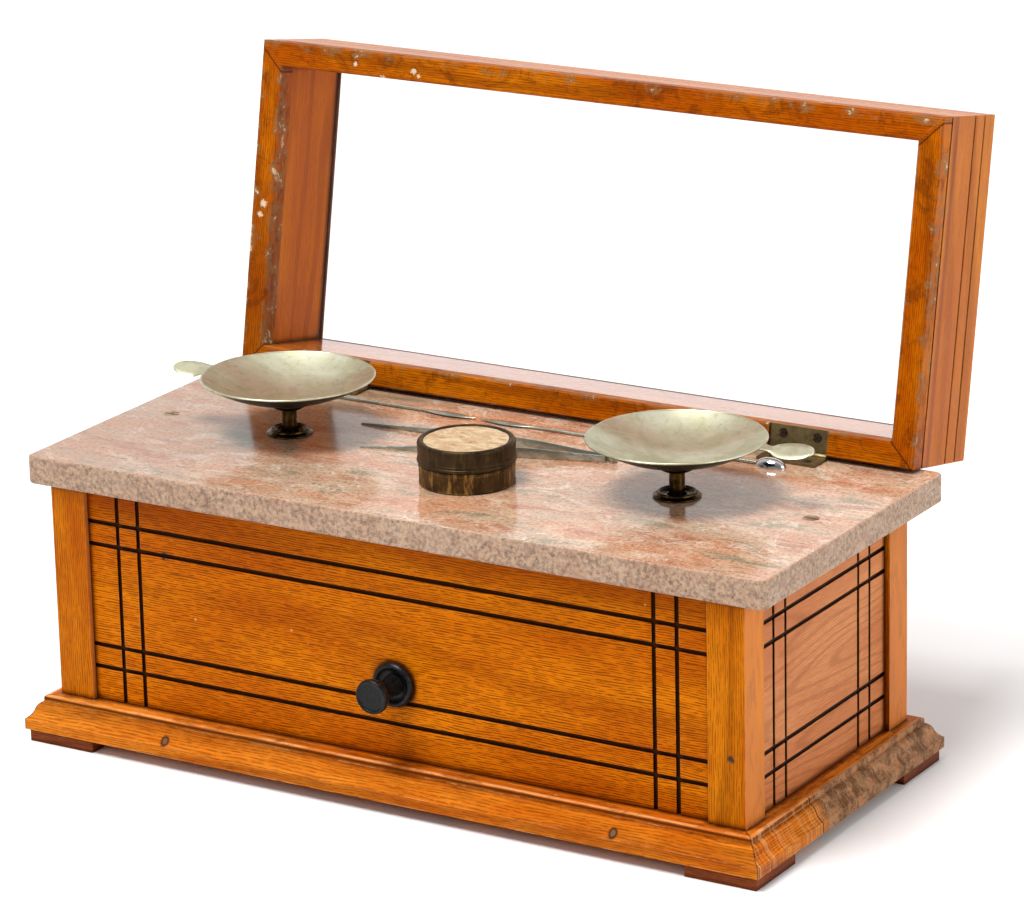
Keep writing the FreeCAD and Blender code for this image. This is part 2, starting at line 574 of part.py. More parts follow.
def lid_frame(section):
    placed = [tuple([point[0], LID_BASE + point[1]] + list(point[2:])) for point in section]
    return mitred_frame(-LID_HALF_X, LID_HALF_X, LID_FRONT, LID_REAR, placed)


def leaf_span(side):
    return sorted((side * LEAF_X, side * (LEAF_X + LEAF_LENGTH)))


def leaf_screw_places(side):
    return [side * (LEAF_X + 7.0), side * (LEAF_X + LEAF_LENGTH - 6.0)]


def make_lid_walls():
    """Mitred sides with two scratch beads outside and a rebate for the glass."""
    round_r = 2.5
    bead_half, bead_deep = 0.75, 1.0
    section = [(0, RIM_DEPTH)]
    for at in (34.6, 44.8):
        section += [(0, at - bead_half), (bead_deep, at), (0, at + bead_half)]
    section += [(0, LID_DEPTH - round_r), (0.73, LID_DEPTH - 0.73, "via"), (round_r, LID_DEPTH),
                (LID_WALL - REBATE, LID_DEPTH), (LID_WALL - REBATE, GLASS_LEVEL),
                (LID_WALL, GLASS_LEVEL), (LID_WALL, RIM_DEPTH)]
    return {"lid_wall_" + side: piece for side, piece in lid_frame(section).items()}


def make_lid_rim():
    """Mitred rim that meets the marble, let in on its rear length for the hinge leaves."""
    section = [(0.9, 0), (0, 1.2), (0, RIM_DEPTH - 1.2), (0.9, RIM_DEPTH), (LID_WALL, RIM_DEPTH),
               (LID_WALL, 0.9), (LID_WALL - 0.9, 0)]
    pieces = lid_frame(section)
    recess_top = MARBLE_TOP + 3.2
    rear = pieces["rear"]
    for side in SIDES:
        x0, x1 = leaf_span(side)
        rear = rear.cut(block(x0 - 0.2, x1 + 0.2, LID_REAR - LID_WALL - 1, LID_REAR + 1,
                              LID_BASE - 1, recess_top))
        for x in leaf_screw_places(side):
            rear = rear.cut(rod(1.2, (x, LID_REAR - LEAF_SCREW_IN, recess_top - 1),
                                (x, LID_REAR - LEAF_SCREW_IN, recess_top + 6.5)))
    pieces["rear"] = rear
    return Part.makeCompound(list(pieces.values()))


def make_lid_glass():
    inset = LID_WALL - REBATE + 0.3
    low = LID_BASE + GLASS_LEVEL
    return block(-LID_HALF_X + inset, LID_HALF_X - inset, LID_FRONT + inset, LID_REAR - inset,
                 low, low + GLASS_THICK)


def make_glazing_beads():
    low = GLASS_LEVEL + GLASS_THICK
    out = LID_WALL - REBATE
    section = [(out, low), (out, LID_DEPTH), (LID_WALL - 1.2, LID_DEPTH), (LID_WALL, low + 1.2),
               (LID_WALL, low)]
    return Part.makeCompound(list(lid_frame(section).values()))


def knuckle_spans(side):
    """Three knuckles on each hinge: outer two on the marble's leaf, the middle on the lid's."""
    x0, x1 = leaf_span(side)
    third = (x1 - x0) / 3
    gap = 0.15
    return [(x0, x0 + third - gap), (x0 + third + gap, x1 - third - gap), (x1 - third + gap, x1)]


def knuckle(span, radius):
    return rod(radius, (span[0], HINGE_Y, HINGE_Z), (span[1], HINGE_Y, HINGE_Z))


def make_marble_hinge_leaves():
    leaves = []
    for side in SIDES:
        x0, x1 = leaf_span(side)
        spans = knuckle_spans(side)
        leaf = block(x0, x1, LID_REAR - LID_WALL, HINGE_Y, MARBLE_TOP, MARBLE_TOP + LEAF_THICK)
        middle = (spans[1][0] - 0.3, spans[1][1] + 0.3)
        leaf = leaf.cut(knuckle(middle, KNUCKLE_R + 0.2))
        leaf = fuse(leaf, knuckle(spans[0], KNUCKLE_R), knuckle(spans[2], KNUCKLE_R))
        leaf = leaf.cut(knuckle((x0 - 1, x1 + 1), HINGE_PIN_R))
        for x in leaf_screw_places(side):
            leaf = leaf.cut(screw_hole(x, LID_REAR - LEAF_SCREW_IN, MARBLE_TOP + LEAF_THICK,
                                       *LEAF_SCREW, 3.0))
        leaves.append(leaf)
    return Part.makeCompound(leaves)


def make_lid_hinge_leaves():
    """Leaves sunk in the rim; drawn closed, they hang over the marble's leaves."""
    low = MARBLE_TOP + 1.75
    leaves = []
    for side in SIDES:
        x0, x1 = leaf_span(side)
        spans = knuckle_spans(side)
        leaf = block(x0, x1, LID_REAR - LID_WALL, HINGE_Y, low, low + LEAF_THICK)
        for span in (spans[0], spans[2]):
            leaf = leaf.cut(knuckle((span[0] - 0.3, span[1] + 0.3), KNUCKLE_R + 0.2))
        leaf = fuse(leaf, knuckle(spans[1], KNUCKLE_R))
        leaf = leaf.cut(knuckle((x0 - 1, x1 + 1), HINGE_PIN_R + RUN_GAP))
        for x in leaf_screw_places(side):
            leaf = leaf.cut(screw_hole(x, LID_REAR - LEAF_SCREW_IN, low, *LEAF_SCREW, 3.0, up=-1))
        leaves.append(leaf)
    return Part.makeCompound(leaves)


def leaf_screws(top, length, up):
    return Part.makeCompound([screw(x, LID_REAR - LEAF_SCREW_IN, top, *LEAF_SCREW, length, up)
                              for side in SIDES for x in leaf_screw_places(side)])


def make_hinge_pins():
    return Part.makeCompound([knuckle(leaf_span(side), HINGE_PIN_R) for side in SIDES])


# ---- loose accessories on the marble ------------------------------------------------------
def make_tin_base():
    """Round tin with a neck that the lid slides over."""
    low = MARBLE_TOP + 0.05
    skirt, neck = TIN_R - 0.6, TIN_R - 1.5
    path = [(0, low), (skirt - 0.8, low), (skirt, low + 0.8), (skirt, low + TIN_JOINT - 0.4),
            (neck, low + TIN_JOINT - 0.4), (neck, low + TIN_HEIGHT - 3.0),
            (neck - 0.9, low + TIN_HEIGHT - 3.0), (neck - 0.9, low + 1.0), (0, low + 1.0)]
    return turned(path, TIN_X, TIN_Y)


def make_tin_lid():
    """Lid with a rolled lower bead and a raised ring round the sunk label."""
    low, high = MARBLE_TOP + TIN_JOINT, MARBLE_TOP + TIN_HEIGHT
    inner = TIN_R - 1.1
    ring = TIN_R - 2.9
    path = [(inner, low), (TIN_R, low), (TIN_R, low + 1.2), (TIN_R - 0.4, low + 1.8),
            (TIN_R - 0.2, high - 1.2), (TIN_R - 1.2, high), (ring, high), (ring - 0.3, high - 0.9),
            (0, high - 0.9), (0, high - 1.9), (inner, high - 1.9)]
    return turned(path, TIN_X, TIN_Y)


def make_tin_label():
    low = MARBLE_TOP + TIN_HEIGHT - 0.9
    return rod(TIN_R - 3.4, (TIN_X, TIN_Y, low), (TIN_X, TIN_Y, low + 0.3))


def make_tin_weights():
    """A few turned brass weights standing on the tin's floor."""
    floor = MARBLE_TOP + 1.05
    weights = []
    for index, (radius, height) in enumerate(((5.6, 10.0), (4.6, 8.0), (3.6, 6.0), (2.8, 5.0))):
        angle = math.radians(100 + 62 * index)
        x, y = TIN_X + 12.5 * math.cos(angle), TIN_Y + 12.5 * math.sin(angle)
        body = rod(radius, (x, y, floor), (x, y, floor + height * 0.7))
        weights.append(fuse(body, rod(radius * 0.5, (x, y, floor), (x, y, floor + height))))
    return Part.makeCompound(weights)


def tweezers_arm(root_y, tip, start):
    """Flat blade on its edge, from beside the heel to a fine point."""
    length = math.hypot(tip[0] - HEEL_X, tip[1] - root_y)
    low = MARBLE_TOP + TOOL_LIFT
    path = [(start, low), (length, low), (length, low + 0.9), (length * 0.86, low + 1.8),
            (length * 0.62, low + 4.6), (length * 0.35, low + 5.2), (start, low + 3.6)]
    blade = prism(path, lambda u, z: V(u, -ARM_HALF, z), V(0, 2 * ARM_HALF, 0))
    blade.rotate(V(0, 0, 0), Z_AXIS, math.degrees(math.atan2(tip[1] - root_y, tip[0] - HEEL_X)))
    blade.translate(V(HEEL_X, root_y, 0))
    return blade


def make_tweezers_far_arm():
    low = MARBLE_TOP + TOOL_LIFT
    heel = rod(HEEL_R, (HEEL_X, HEEL_Y, low), (HEEL_X, HEEL_Y, low + 3.6))
    return fuse(tweezers_arm(HEEL_Y, FAR_TIP, 0.0), heel)


def make_tweezers_near_arm():
    """The other blade; its root is offset, so that the closed blades lie side by side."""
    return tweezers_arm(HEEL_Y - ARM_OFFSET, NEAR_TIP, NEAR_START)


def half_spindle(half, radius):
    """Upper half of a spindle along X: narrow flat ends, round in the middle."""
    end_r = radius * 0.15
    path = [(-half, 0), (-half, end_r), (0, radius, "via"), (half, end_r), (half, 0)]
    face = Part.Face(outline(path, lambda x, y: V(x, y, 0)))
    spindle = face.revolve(V(0, 0, 0), X_AXIS, 360)
    return spindle.common(block(-half - 1, half + 1, -radius - 1, radius + 1, 0, radius + 1))


def spoon_bowl(half, radius):
    return half_spindle(half, radius).cut(half_spindle(half - 1.2, radius - 0.7))


def make_spatula(side):
    """Thin rod with a leaf-shaped blade at its inner end and an upturned bowl at the other."""
    outer, inner = SPATULA_RANGE[side]
    way = -1 if outer > inner else 1
    low = MARBLE_TOP + TOOL_LIFT
    bowl_half, bowl_r = 8.0, 4.8
    blade_at = inner - way * 20
    blade = prism([(blade_at - way * 16, 0.9), (blade_at, 2.7), (inner - way * 6, 0.9), (inner, 0.5),
                   (inner, -0.5), (inner - way * 6, -0.9), (blade_at, -2.7),
                   (blade_at - way * 16, -0.9)],
                  lambda x, y: V(x, SPATULA_Y + y, low + 0.4), V(0, 0, 0.9))
    stem_z = low + 0.95
    stem = rod(0.9, (outer + way * (2 * bowl_half - 2.0), SPATULA_Y, stem_z),
               (blade_at - way * 10, SPATULA_Y, stem_z))
    bowl = spoon_bowl(bowl_half, bowl_r)
    bowl.translate(V(outer + way * bowl_half, SPATULA_Y, low))
    return fuse(bowl, stem, blade)


# ---- everything, by node name -------------------------------------------------------------
def build_all():
    panels = make_panels()
    parts = {"feet": make_feet(), "base_board": make_base_board()}
    parts.update(make_plinth())
    parts.update(panels)
    parts["corner_posts"] = make_corner_posts(panels)
    parts["top_rails"] = make_top_rails()
    parts["glue_blocks"] = make_glue_blocks()
    parts["marble_top"] = make_marble_top()
    parts["marble_screws"] = make_marble_screws()
    parts["column_collars"] = make_column_collars()
    parts["balance_frame"] = make_balance_frame()
    parts["frame_screws"] = make_frame_screws()
    parts["fulcrum_bearings"] = make_fulcrum_bearings()
    parts["stay_pivot"] = make_stay_pivot()
    parts["beam"] = make_beam()
    parts["fulcrum_knife"] = make_fulcrum_knife()
    parts["beam_end_pins"] = fork_pins(BEAM_Z)
    parts["gravity_bob"] = make_gravity_bob()
    parts["stay_link"] = make_stay_link()
    parts["stay_pins"] = fork_pins(STAY_Z)
    for side, name in ((-1, "left"), (1, "right")):
        parts["column_" + name] = make_column(side)
        parts["pan_support_" + name] = make_pan_support(side)
        parts["pan_" + name] = make_pan(side)
        parts["spatula_" + name] = make_spatula(side)
    parts["knob_flange"] = make_knob_flange()
    parts["arrest_knob"] = make_arrest_knob()
    parts["arrest_shaft"] = make_arrest_shaft()
    parts["arrest_cam"] = make_arrest_cam()
    parts["arrest_bar"] = make_arrest_bar()
    parts["arrest_pads"] = make_arrest_pads()
    parts["arrest_guides"] = make_arrest_guides()
    parts["arrest_springs"] = make_arrest_springs()
    lid = make_lid_walls()
    lid["lid_rim"] = make_lid_rim()
    lid["lid_glass"] = make_lid_glass()
    lid["glazing_beads"] = make_glazing_beads()
    lid["lid_hinge_leaves"] = make_lid_hinge_leaves()
    lid["lid_leaf_screws"] = leaf_screws(MARBLE_TOP + 1.75, 8.0, -1)
    parts.update({name: opened(shape) for name, shape in lid.items()})
    parts["marble_hinge_leaves"] = make_marble_hinge_leaves()
    parts["marble_leaf_screws"] = leaf_screws(MARBLE_TOP + LEAF_THICK, 7.5, 1)
    parts["hinge_pins"] = make_hinge_pins()
    parts["tin_base"] = make_tin_base()
    parts["tin_lid"] = make_tin_lid()
    parts["tin_label"] = make_tin_label()
    parts["tin_weights"] = make_tin_weights()
    parts["tweezers_far_arm"] = make_tweezers_far_arm()
    parts["tweezers_near_arm"] = make_tweezers_near_arm()
    for shape in parts.values():
        shape.translate(V(0, -ORIGIN_Y, 0))
    return parts


def main():
    os.makedirs("parts", exist_ok=True)
    for name, shape in build_all().items():
        solids = shape.Solids
        volume = sum(solid.Volume for solid in solids)
        if not solids or not all(solid.isValid() for solid in solids):
            raise SystemExit(name + " is not made of valid solids")
        print(f"{name:22s} {len(solids)} solids {volume / 1000:9.2f} cm3")
        shape.exportStep("parts/" + name + ".step")


main()
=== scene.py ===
"""Looks of the marble-topped counter balance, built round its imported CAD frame.

All lengths are in metres and in the row's own frame: +X along the case, +Y towards the lid's
hinges, +Z up.  Every piece is made where it stands, so object coordinates in a material are
the rest coordinates of the row.
"""
import json
import math

import bmesh
import bpy
from mathutils import Matrix, Vector, noise


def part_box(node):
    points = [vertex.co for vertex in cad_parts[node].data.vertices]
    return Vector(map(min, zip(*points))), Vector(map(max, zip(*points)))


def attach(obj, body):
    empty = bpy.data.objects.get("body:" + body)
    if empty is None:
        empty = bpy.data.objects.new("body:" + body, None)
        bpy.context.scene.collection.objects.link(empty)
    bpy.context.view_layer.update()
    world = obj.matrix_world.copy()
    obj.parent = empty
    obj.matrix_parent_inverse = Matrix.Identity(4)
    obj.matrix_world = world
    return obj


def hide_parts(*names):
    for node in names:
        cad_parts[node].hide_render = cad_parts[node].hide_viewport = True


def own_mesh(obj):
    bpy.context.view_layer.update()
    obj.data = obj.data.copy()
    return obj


MM = 0.001
TAU = 2 * math.pi
SIDES = ("left", "right")

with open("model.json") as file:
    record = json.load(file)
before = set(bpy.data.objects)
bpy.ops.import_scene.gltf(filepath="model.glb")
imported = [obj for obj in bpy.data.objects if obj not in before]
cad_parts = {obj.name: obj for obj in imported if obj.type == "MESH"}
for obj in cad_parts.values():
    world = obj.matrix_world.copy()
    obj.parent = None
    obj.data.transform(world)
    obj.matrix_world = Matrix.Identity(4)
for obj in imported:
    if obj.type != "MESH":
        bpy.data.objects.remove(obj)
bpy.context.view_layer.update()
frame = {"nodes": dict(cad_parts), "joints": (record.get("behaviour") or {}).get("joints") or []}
NODES = frame["nodes"]


# ---- places read from the frame ----
def middle(node):
    low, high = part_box(node)
    return (low + high) / 2


def box_mm(node):
    """Low and high corners of a node in millimetres, and half its width in X."""
    low, high = [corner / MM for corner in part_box(node)]
    return low, high, (high.x - low.x) / 2


def joint(name):
    return next(entry for entry in frame["joints"] if entry["name"] == name)


HINGE = Vector(joint("lid_swing")["pos_m"])
OPEN_ANGLE = math.radians(-joint("lid_swing")["range_deg"][0])
MARBLE_LOW, MARBLE_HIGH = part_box("marble_top")
TOP = MARBLE_HIGH.z
CASE_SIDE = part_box("corner_posts")[1].x
CASE_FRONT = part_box("corner_posts")[0].y
CRACK_SHARE = 0.3                     # where the right moulding is cracked, from the front
ROW_PITCH = 1.15 * MM                 # rows of pores across the front panel
RIM_WIDTH = 12.2 * MM
RIM_DABS = ((-0.133, 0.158, 0.8), (-0.117, 0.153, 0.9), (-0.099, 0.158, 1.0), (-0.096, 0.156, 0.7),
            (-0.1815, 0.0835, 1.2), (-0.183, 0.078, 1.0))    # x, distance from the hinge, size
MOULDING_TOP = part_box("plinth_front")[1].z
MOULDING_STEP = MOULDING_TOP - 1.3 * MM
LEDGE = 5.7 * MM                      # how far the moulding's flat top stands out of the case
NAIL_SHARES = (0.2, 0.815)            # filled nail holes along the front moulding
NAIL_HEIGHT = 13.6 * MM
WALL_HOLLOW = 15.5 * MM               # height of the shallow hollow in the lid's right wall


# ---- node trees ----
def srgb(red, green, blue):
    """Linear colour from 0-255 display values."""
    linear = []
    for value in (red, green, blue):
        share = value / 255
        linear.append(share / 12.92 if share <= 0.04045 else ((share + 0.055) / 1.055) ** 2.4)
    return (*linear, 1.0)


class Shader:
    """One material's node tree, with short calls for the few node kinds used here.

    A colour of three numbers is in 0-255 display values.
    """

    def __init__(self, name, **settings):
        self.material = bpy.data.materials.new(name)
        self.material.use_nodes = True
        self.tree = self.material.node_tree
        self.surface = self.tree.nodes["Principled BSDF"]
        self.set(**settings)

    def node(self, kind, inputs, **settings):
        made = self.tree.nodes.new("ShaderNode" + kind)
        for key, value in settings.items():
            setattr(made, key, value)
        for key, value in inputs.items():
            self.put(made.inputs[key], value)
        return made

    def put(self, socket, value):
        if isinstance(value, bpy.types.NodeSocket):
            self.tree.links.new(value, socket)
        elif socket.type == "RGBA" and len(value) == 3:
            socket.default_value = srgb(*value)
        else:
            socket.default_value = value

    def set(self, **settings):
        """Surface inputs by name, with _ for a space."""
        for key, value in settings.items():
            self.put(self.surface.inputs[key.replace("_", " ")], value)

    def position(self):
        return self.node("TexCoord", {}).outputs["Object"]

    def closed_position(self):
        """Rest position turned back about the hinge to where the lid is shut."""
        turn = Matrix.Rotation(OPEN_ANGLE, 3, "X")
        shift = HINGE - turn @ HINGE
        mapped = self.node("Mapping", {"Vector": self.position(), "Location": shift,
                                       "Rotation": (OPEN_ANGLE, 0, 0)})
        return mapped.outputs["Vector"]

    def split(self, vector):
        return self.node("SeparateXYZ", {"Vector": vector}).outputs

    def join(self, x, y, z):
        return self.node("CombineXYZ", {"X": x, "Y": y, "Z": z}).outputs["Vector"]

    def stretch(self, vector, scale, shift=(0, 0, 0)):
        mapped = self.node("Mapping", {"Vector": vector, "Scale": scale, "Location": shift})
        return mapped.outputs["Vector"]

    def math(self, operation, first, second=0.0, third=0.0):
        made = self.node("Math", {0: first, 1: second, 2: third}, operation=operation)
        return made.outputs[0]

    def times(self, first, second):
        return self.math("MULTIPLY", first, second)

    def plus(self, first, second):
        return self.math("ADD", first, second)

    def minus(self, first, second):
        return self.math("SUBTRACT", first, second)

    def absolute(self, value):
        return self.math("ABSOLUTE", value)

    def facing(self, letter):
        """How far the surface faces along +X, +Y or +Z, from -1 to 1."""
        return self.split(self.node("NewGeometry", {}).outputs["Normal"])[letter]

    def noise(self, vector, scale=1.0, detail=2.0, rough=0.5, distort=0.0):
        made = self.node("TexNoise", {"Vector": vector, "Scale": scale, "Detail": detail,
                                      "Roughness": rough, "Distortion": distort})
        return made.outputs["Fac"]

    def streaks(self, vector, scale, detail=2.0, rough=0.5, distort=0.0):
        """Noise with its own scale along each axis."""
        return self.noise(self.stretch(vector, scale), 1.0, detail, rough, distort)

    def span(self, value, low, high, to_low=0.0, to_high=1.0):
        """Smooth step of a value from low..high to to_low..to_high."""
        made = self.node("MapRange", {"Value": value, "From Min": low, "From Max": high,
                                      "To Min": to_low, "To Max": to_high},
                         interpolation_type="SMOOTHSTEP")
        return made.outputs["Result"]

    def mix(self, share, first, second, blend="MIX"):
        made = self.tree.nodes.new("ShaderNodeMix")
        made.data_type = "RGBA"
        made.blend_type = blend
        for index, value in ((0, share), (6, first), (7, second)):
            self.put(made.inputs[index], value)
        return made.outputs[2]

    def blend_value(self, share, first, second):
        made = self.tree.nodes.new("ShaderNodeMix")
        for index, value in ((0, share), (2, first), (3, second)):
            self.put(made.inputs[index], value)
        return made.outputs[0]

    def tint(self, colour, value, low, high, most, rgb):
        """Lay rgb over colour, from none where value is low to this most where it is high."""
        return self.mix(self.span(value, low, high, 0, most), colour, rgb)

    def spots(self, vector, scale, share, radius):
        """Mask of round spots: this share of the cells has one, of this radius in cell units."""
        cells = self.node("TexVoronoi", {"Vector": vector, "Scale": scale}, feature="F1")
        near = self.span(cells.outputs["Distance"], radius * 0.6, radius, 1.0, 0.0)
        lucky = self.math("LESS_THAN", self.split(cells.outputs["Color"])["X"], share)
        return self.times(near, lucky)

    def worn_edges(self, radius):
        """Mask of outer corners, from how far a rounded normal leaves the true one."""
        soft = self.node("Bevel", {"Radius": radius}, samples=6).outputs["Normal"]
        true = self.node("NewGeometry", {}).outputs["Normal"]
        dot = self.node("VectorMath", {0: soft, 1: true}, operation="DOT_PRODUCT")
        return self.span(dot.outputs["Value"], 0.995, 0.86)

    def crevice_shade(self, reach):
        """Mask of inner corners and seams from ambient occlusion, where painted shade goes."""
        inputs = {"Distance": reach}
        return self.span(self.node("AmbientOcclusion", inputs, samples=8).outputs["AO"], 0.93, 0.55)

    def bump(self, height, depth):
        inputs = {"Height": height, "Distance": depth, "Strength": 1.0}
        self.set(Normal=self.node("Bump", inputs).outputs["Normal"])
        return self.material


# ---- wood ----
def grain_vector(mat, axis, closed):
    """Position with the grain along X, across the board in Y and into it in Z."""
    place = mat.closed_position() if closed else mat.position()
    xyz = mat.split(place)
    order = {"x": "XZY", "y": "YZX", "z": "ZXY", "flat": "XYZ"}
    return mat.join(*[xyz[letter] for letter in order[axis]]), xyz


def wood(name, axis, tones, closed=False, rings=9.0, shift=(0, 0, 0), lines=0.5, worn=0.35,
         gloss=0.0, sheen=0.13, bands=0.35, groove=None, vector=None, extra=None):
    """Varnished open-grained wood: growth rings, pores, fibres, stains, specks, worn corners, and
    painted shade in corners and seams.

    tones are light, middle and dark.  rings is how many ring bands the slow figure runs through.
    lines is the strength of the rows of short pores.  groove is (letter, level, sign) of the face
    that grooves are cut in.  sheen is the varnish's own amber reflection and gloss a clear coat;
    bands is how dark the growth rings are.
    extra may paint more on: it takes the Shader, the position and the colour so far.
    """
    light, mid, dark = tones
    mat = Shader(name, Coat_Weight=gloss, Coat_Roughness=0.12, Specular_IOR_Level=sheen,
                 Specular_Tint=(255, 178, 70))
    grain, xyz = grain_vector(mat, axis, closed)
    if vector:
        grain = vector(mat, xyz)
    grain = mat.stretch(grain, (1, 1, 1), shift)
    along_across = mat.split(grain)
    figure = mat.streaks(grain, (3.2, 17, 17), 2, 0.4)
    drift = mat.times(along_across["Y"], 30.0)
    field = mat.plus(mat.times(figure, rings), drift)
    ring = mat.span(mat.math("SINE", mat.times(field, TAU)), 0.3, 1.0)

    waver = mat.streaks(grain, (24, 90, 90), 2)
    rows = mat.plus(mat.times(along_across["Y"], 1 / ROW_PITCH), mat.times(waver, 3.2))
    row = mat.span(mat.math("SINE", mat.times(rows, TAU)), -0.3, 0.8)
    broken = mat.streaks(grain, (190, 800, 800), 2, 0.6)
    dash = mat.times(row, mat.span(broken, 0.4, 0.54, 0.16, 1.0))
    long_pore = mat.span(mat.streaks(grain, (95, 1900, 1900), 1.5), 0.6, 0.7)
    pore = mat.math("MAXIMUM", dash, mat.times(long_pore, 0.8))
    fibre = mat.streaks(grain, (45, 2600, 2600), 2, 0.6)
    tone = mat.streaks(grain, (7, 30, 30), 5, 0.62)

    colour = mat.mix(mat.span(tone, 0.36, 0.64), mid, light)
    colour = mat.mix(mat.times(ring, bands), colour, dark)
    colour = mat.mix(mat.span(fibre, 0.35, 0.7, 0.0, 0.28), colour, dark)
    colour = mat.mix(mat.times(pore, lines), colour, mat.mix(0.6, dark, (40, 14, 2)))

    place = mat.position()
    bruise = mat.spots(mat.stretch(place, (1, 1, 1), (0.013, 0.02, 0.005)), 26, 0.09, 0.075)
    ragged = mat.span(mat.noise(place, 420, 3), 0.35, 0.55)
    colour = mat.mix(mat.times(bruise, ragged), colour, (58, 48, 44))
    speck = mat.spots(place, 110, 0.03, 0.1)
    colour = mat.mix(mat.times(speck, 0.5), colour, (226, 176, 116))
    # painted shade: dark red-brown laid into corners and seams found by ambient occlusion
    colour = mat.mix(mat.times(mat.crevice_shade(4.0 * MM), 0.85), colour, (66, 18, 3))

    edge = mat.worn_edges(0.9 * MM)
    patchy = mat.span(mat.noise(place, 60, 5, 0.7), 0.42, 0.62)
    rubbed = mat.times(mat.times(edge, patchy), worn)
    colour = mat.mix(rubbed, colour, (228, 170, 108))
    chipped = mat.times(edge, mat.span(mat.noise(place, 150, 4), 0.58, 0.64))
    colour = mat.mix(mat.times(chipped, worn), colour, (84, 50, 28))
    if extra:
        colour = extra(mat, xyz, colour)
    if groove:
        letter, level, sign = groove
        depth = mat.times(mat.minus(xyz[letter], level), sign)
        inside = mat.times(mat.span(depth, 0.15 * MM, 0.5 * MM),
                           mat.span(depth, 2.4 * MM, 1.8 * MM))
        colour = mat.mix(mat.times(inside, 0.95), colour, (26, 8, 3))

    rough = mat.span(tone, 0.3, 0.7, 0.4, 0.55)
    mat.set(Base_Color=colour, Roughness=mat.plus(rough, mat.times(rubbed, 0.2)))
    height = mat.minus(mat.times(fibre, 0.25), mat.plus(pore, mat.times(bruise, 5.0)))
    return mat.bump(height, 0.07 * MM)


FRONT_TONES = ((222, 124, 6), (194, 94, 0), (122, 42, 0))
POST_TONES = ((212, 122, 12), (184, 88, 0), (104, 36, 0))
# Side panels: paler, pinker tones, partly the oak's own colour and partly a painted sheen of the
# white surround.
SIDE_SHEEN_TONES = ((216, 142, 90), (200, 120, 68), (134, 66, 30))
LID_TONES = ((206, 114, 4), (178, 80, 0), (98, 36, 2))
WALL_TONES = ((210, 126, 48), (192, 102, 28), (140, 64, 18))
INNER_TONES = ((218, 122, 30), (196, 98, 16), (138, 58, 8))
PLINTH_TONES = ((226, 132, 34), (196, 94, 6), (114, 42, 4))
FOOT_TONES = ((150, 78, 44), (122, 56, 30), (80, 34, 18))
PINE_TONES = ((214, 178, 122), (200, 160, 104), (168, 120, 70))


def right_face_sheen(mat, _xyz, colour):
    """Painted sheen: the faces turned towards +X are made paler, standing in for the white
    surround's reflection.
    """
    out = mat.facing("X")
    return mat.tint(colour, out, 0.5, 0.9, 0.5, (218, 136, 70))


def rim_across(mat, xyz):
    """How far in from the nearest outer edge of the rim, and how far from the hinge side."""
    half_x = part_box("lid_rim")[1].x
    span_y = (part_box("lid_rim")[1] - HINGE).z
    from_end = mat.minus(half_x, mat.absolute(xyz["X"]))
    back = mat.minus(HINGE.y, xyz["Y"])
    from_edge = mat.math("MINIMUM", back, mat.minus(span_y, back))
    return from_end, from_edge, back


def chipped_rim(mat, xyz, colour):
    """Wear along both edges of the rim: dark mottling, bare wood, pale filler and a few dabs."""
    place = mat.position()
    from_end, from_edge, back = rim_across(mat, xyz)
    across = mat.math("MINIMUM", from_end, from_edge)
    off_middle = mat.absolute(mat.minus(across, RIM_WIDTH / 2))
    near_edge = mat.span(off_middle, 0.1 * RIM_WIDTH, 0.52 * RIM_WIDTH, 0.0, 0.17)
    left = mat.span(xyz["X"], -0.17, -0.185, 0.0, 0.07)
    coarse = mat.noise(place, 90, 7, 0.76, 0.4)
    level = mat.plus(mat.plus(coarse, left), near_edge)
    mottle = mat.noise(mat.stretch(place, (1, 1, 1), (3, 1, 0)), 85, 6, 0.74, 0.8)
    colour = mat.tint(colour, mottle, 0.5, 0.64, 0.6, (98, 40, 6))
    colour = mat.tint(colour, level, 0.67, 0.74, 0.7, (134, 98, 62))
    colour = mat.tint(colour, level, 0.78, 0.81, 0.85, (222, 196, 156))
    mitre = mat.absolute(mat.minus(from_end, from_edge))
    colour = mat.tint(colour, mitre, 0.7 * MM, 0.25 * MM, 0.85, (70, 26, 6))
    for x, depth, size in RIM_DABS:
        spot = mat.node("VectorMath", {0: mat.join(xyz["X"], back, 0.0), 1: (x, depth, 0.0)},
                        operation="DISTANCE").outputs["Value"]
        wobble = mat.times(mat.noise(place, 700, 5, 0.75, 1.5), 6 * size * MM)
        reach = mat.plus(spot, wobble)
        colour = mat.tint(colour, reach, 4.6 * size * MM, 4.2 * size * MM, 0.85, (228, 208, 178))
    return colour


def rim_shadow_line(mat, xyz, colour):
    """Purple-dark line in the shallow hollow beside the rim, and stains on the outside."""
    depth = mat.minus(xyz["Z"], TOP)
    middle_line = mat.absolute(mat.minus(depth, WALL_HOLLOW))
    band = mat.span(middle_line, 3.2 * MM, 0.4 * MM, 0, 0.6)
    colour = mat.mix(band, colour, (118, 52, 44))
    stain = mat.span(mat.noise(mat.position(), 34, 4, 0.6), 0.5, 0.7, 0, 0.3)
    return mat.mix(stain, colour, (176, 104, 60))


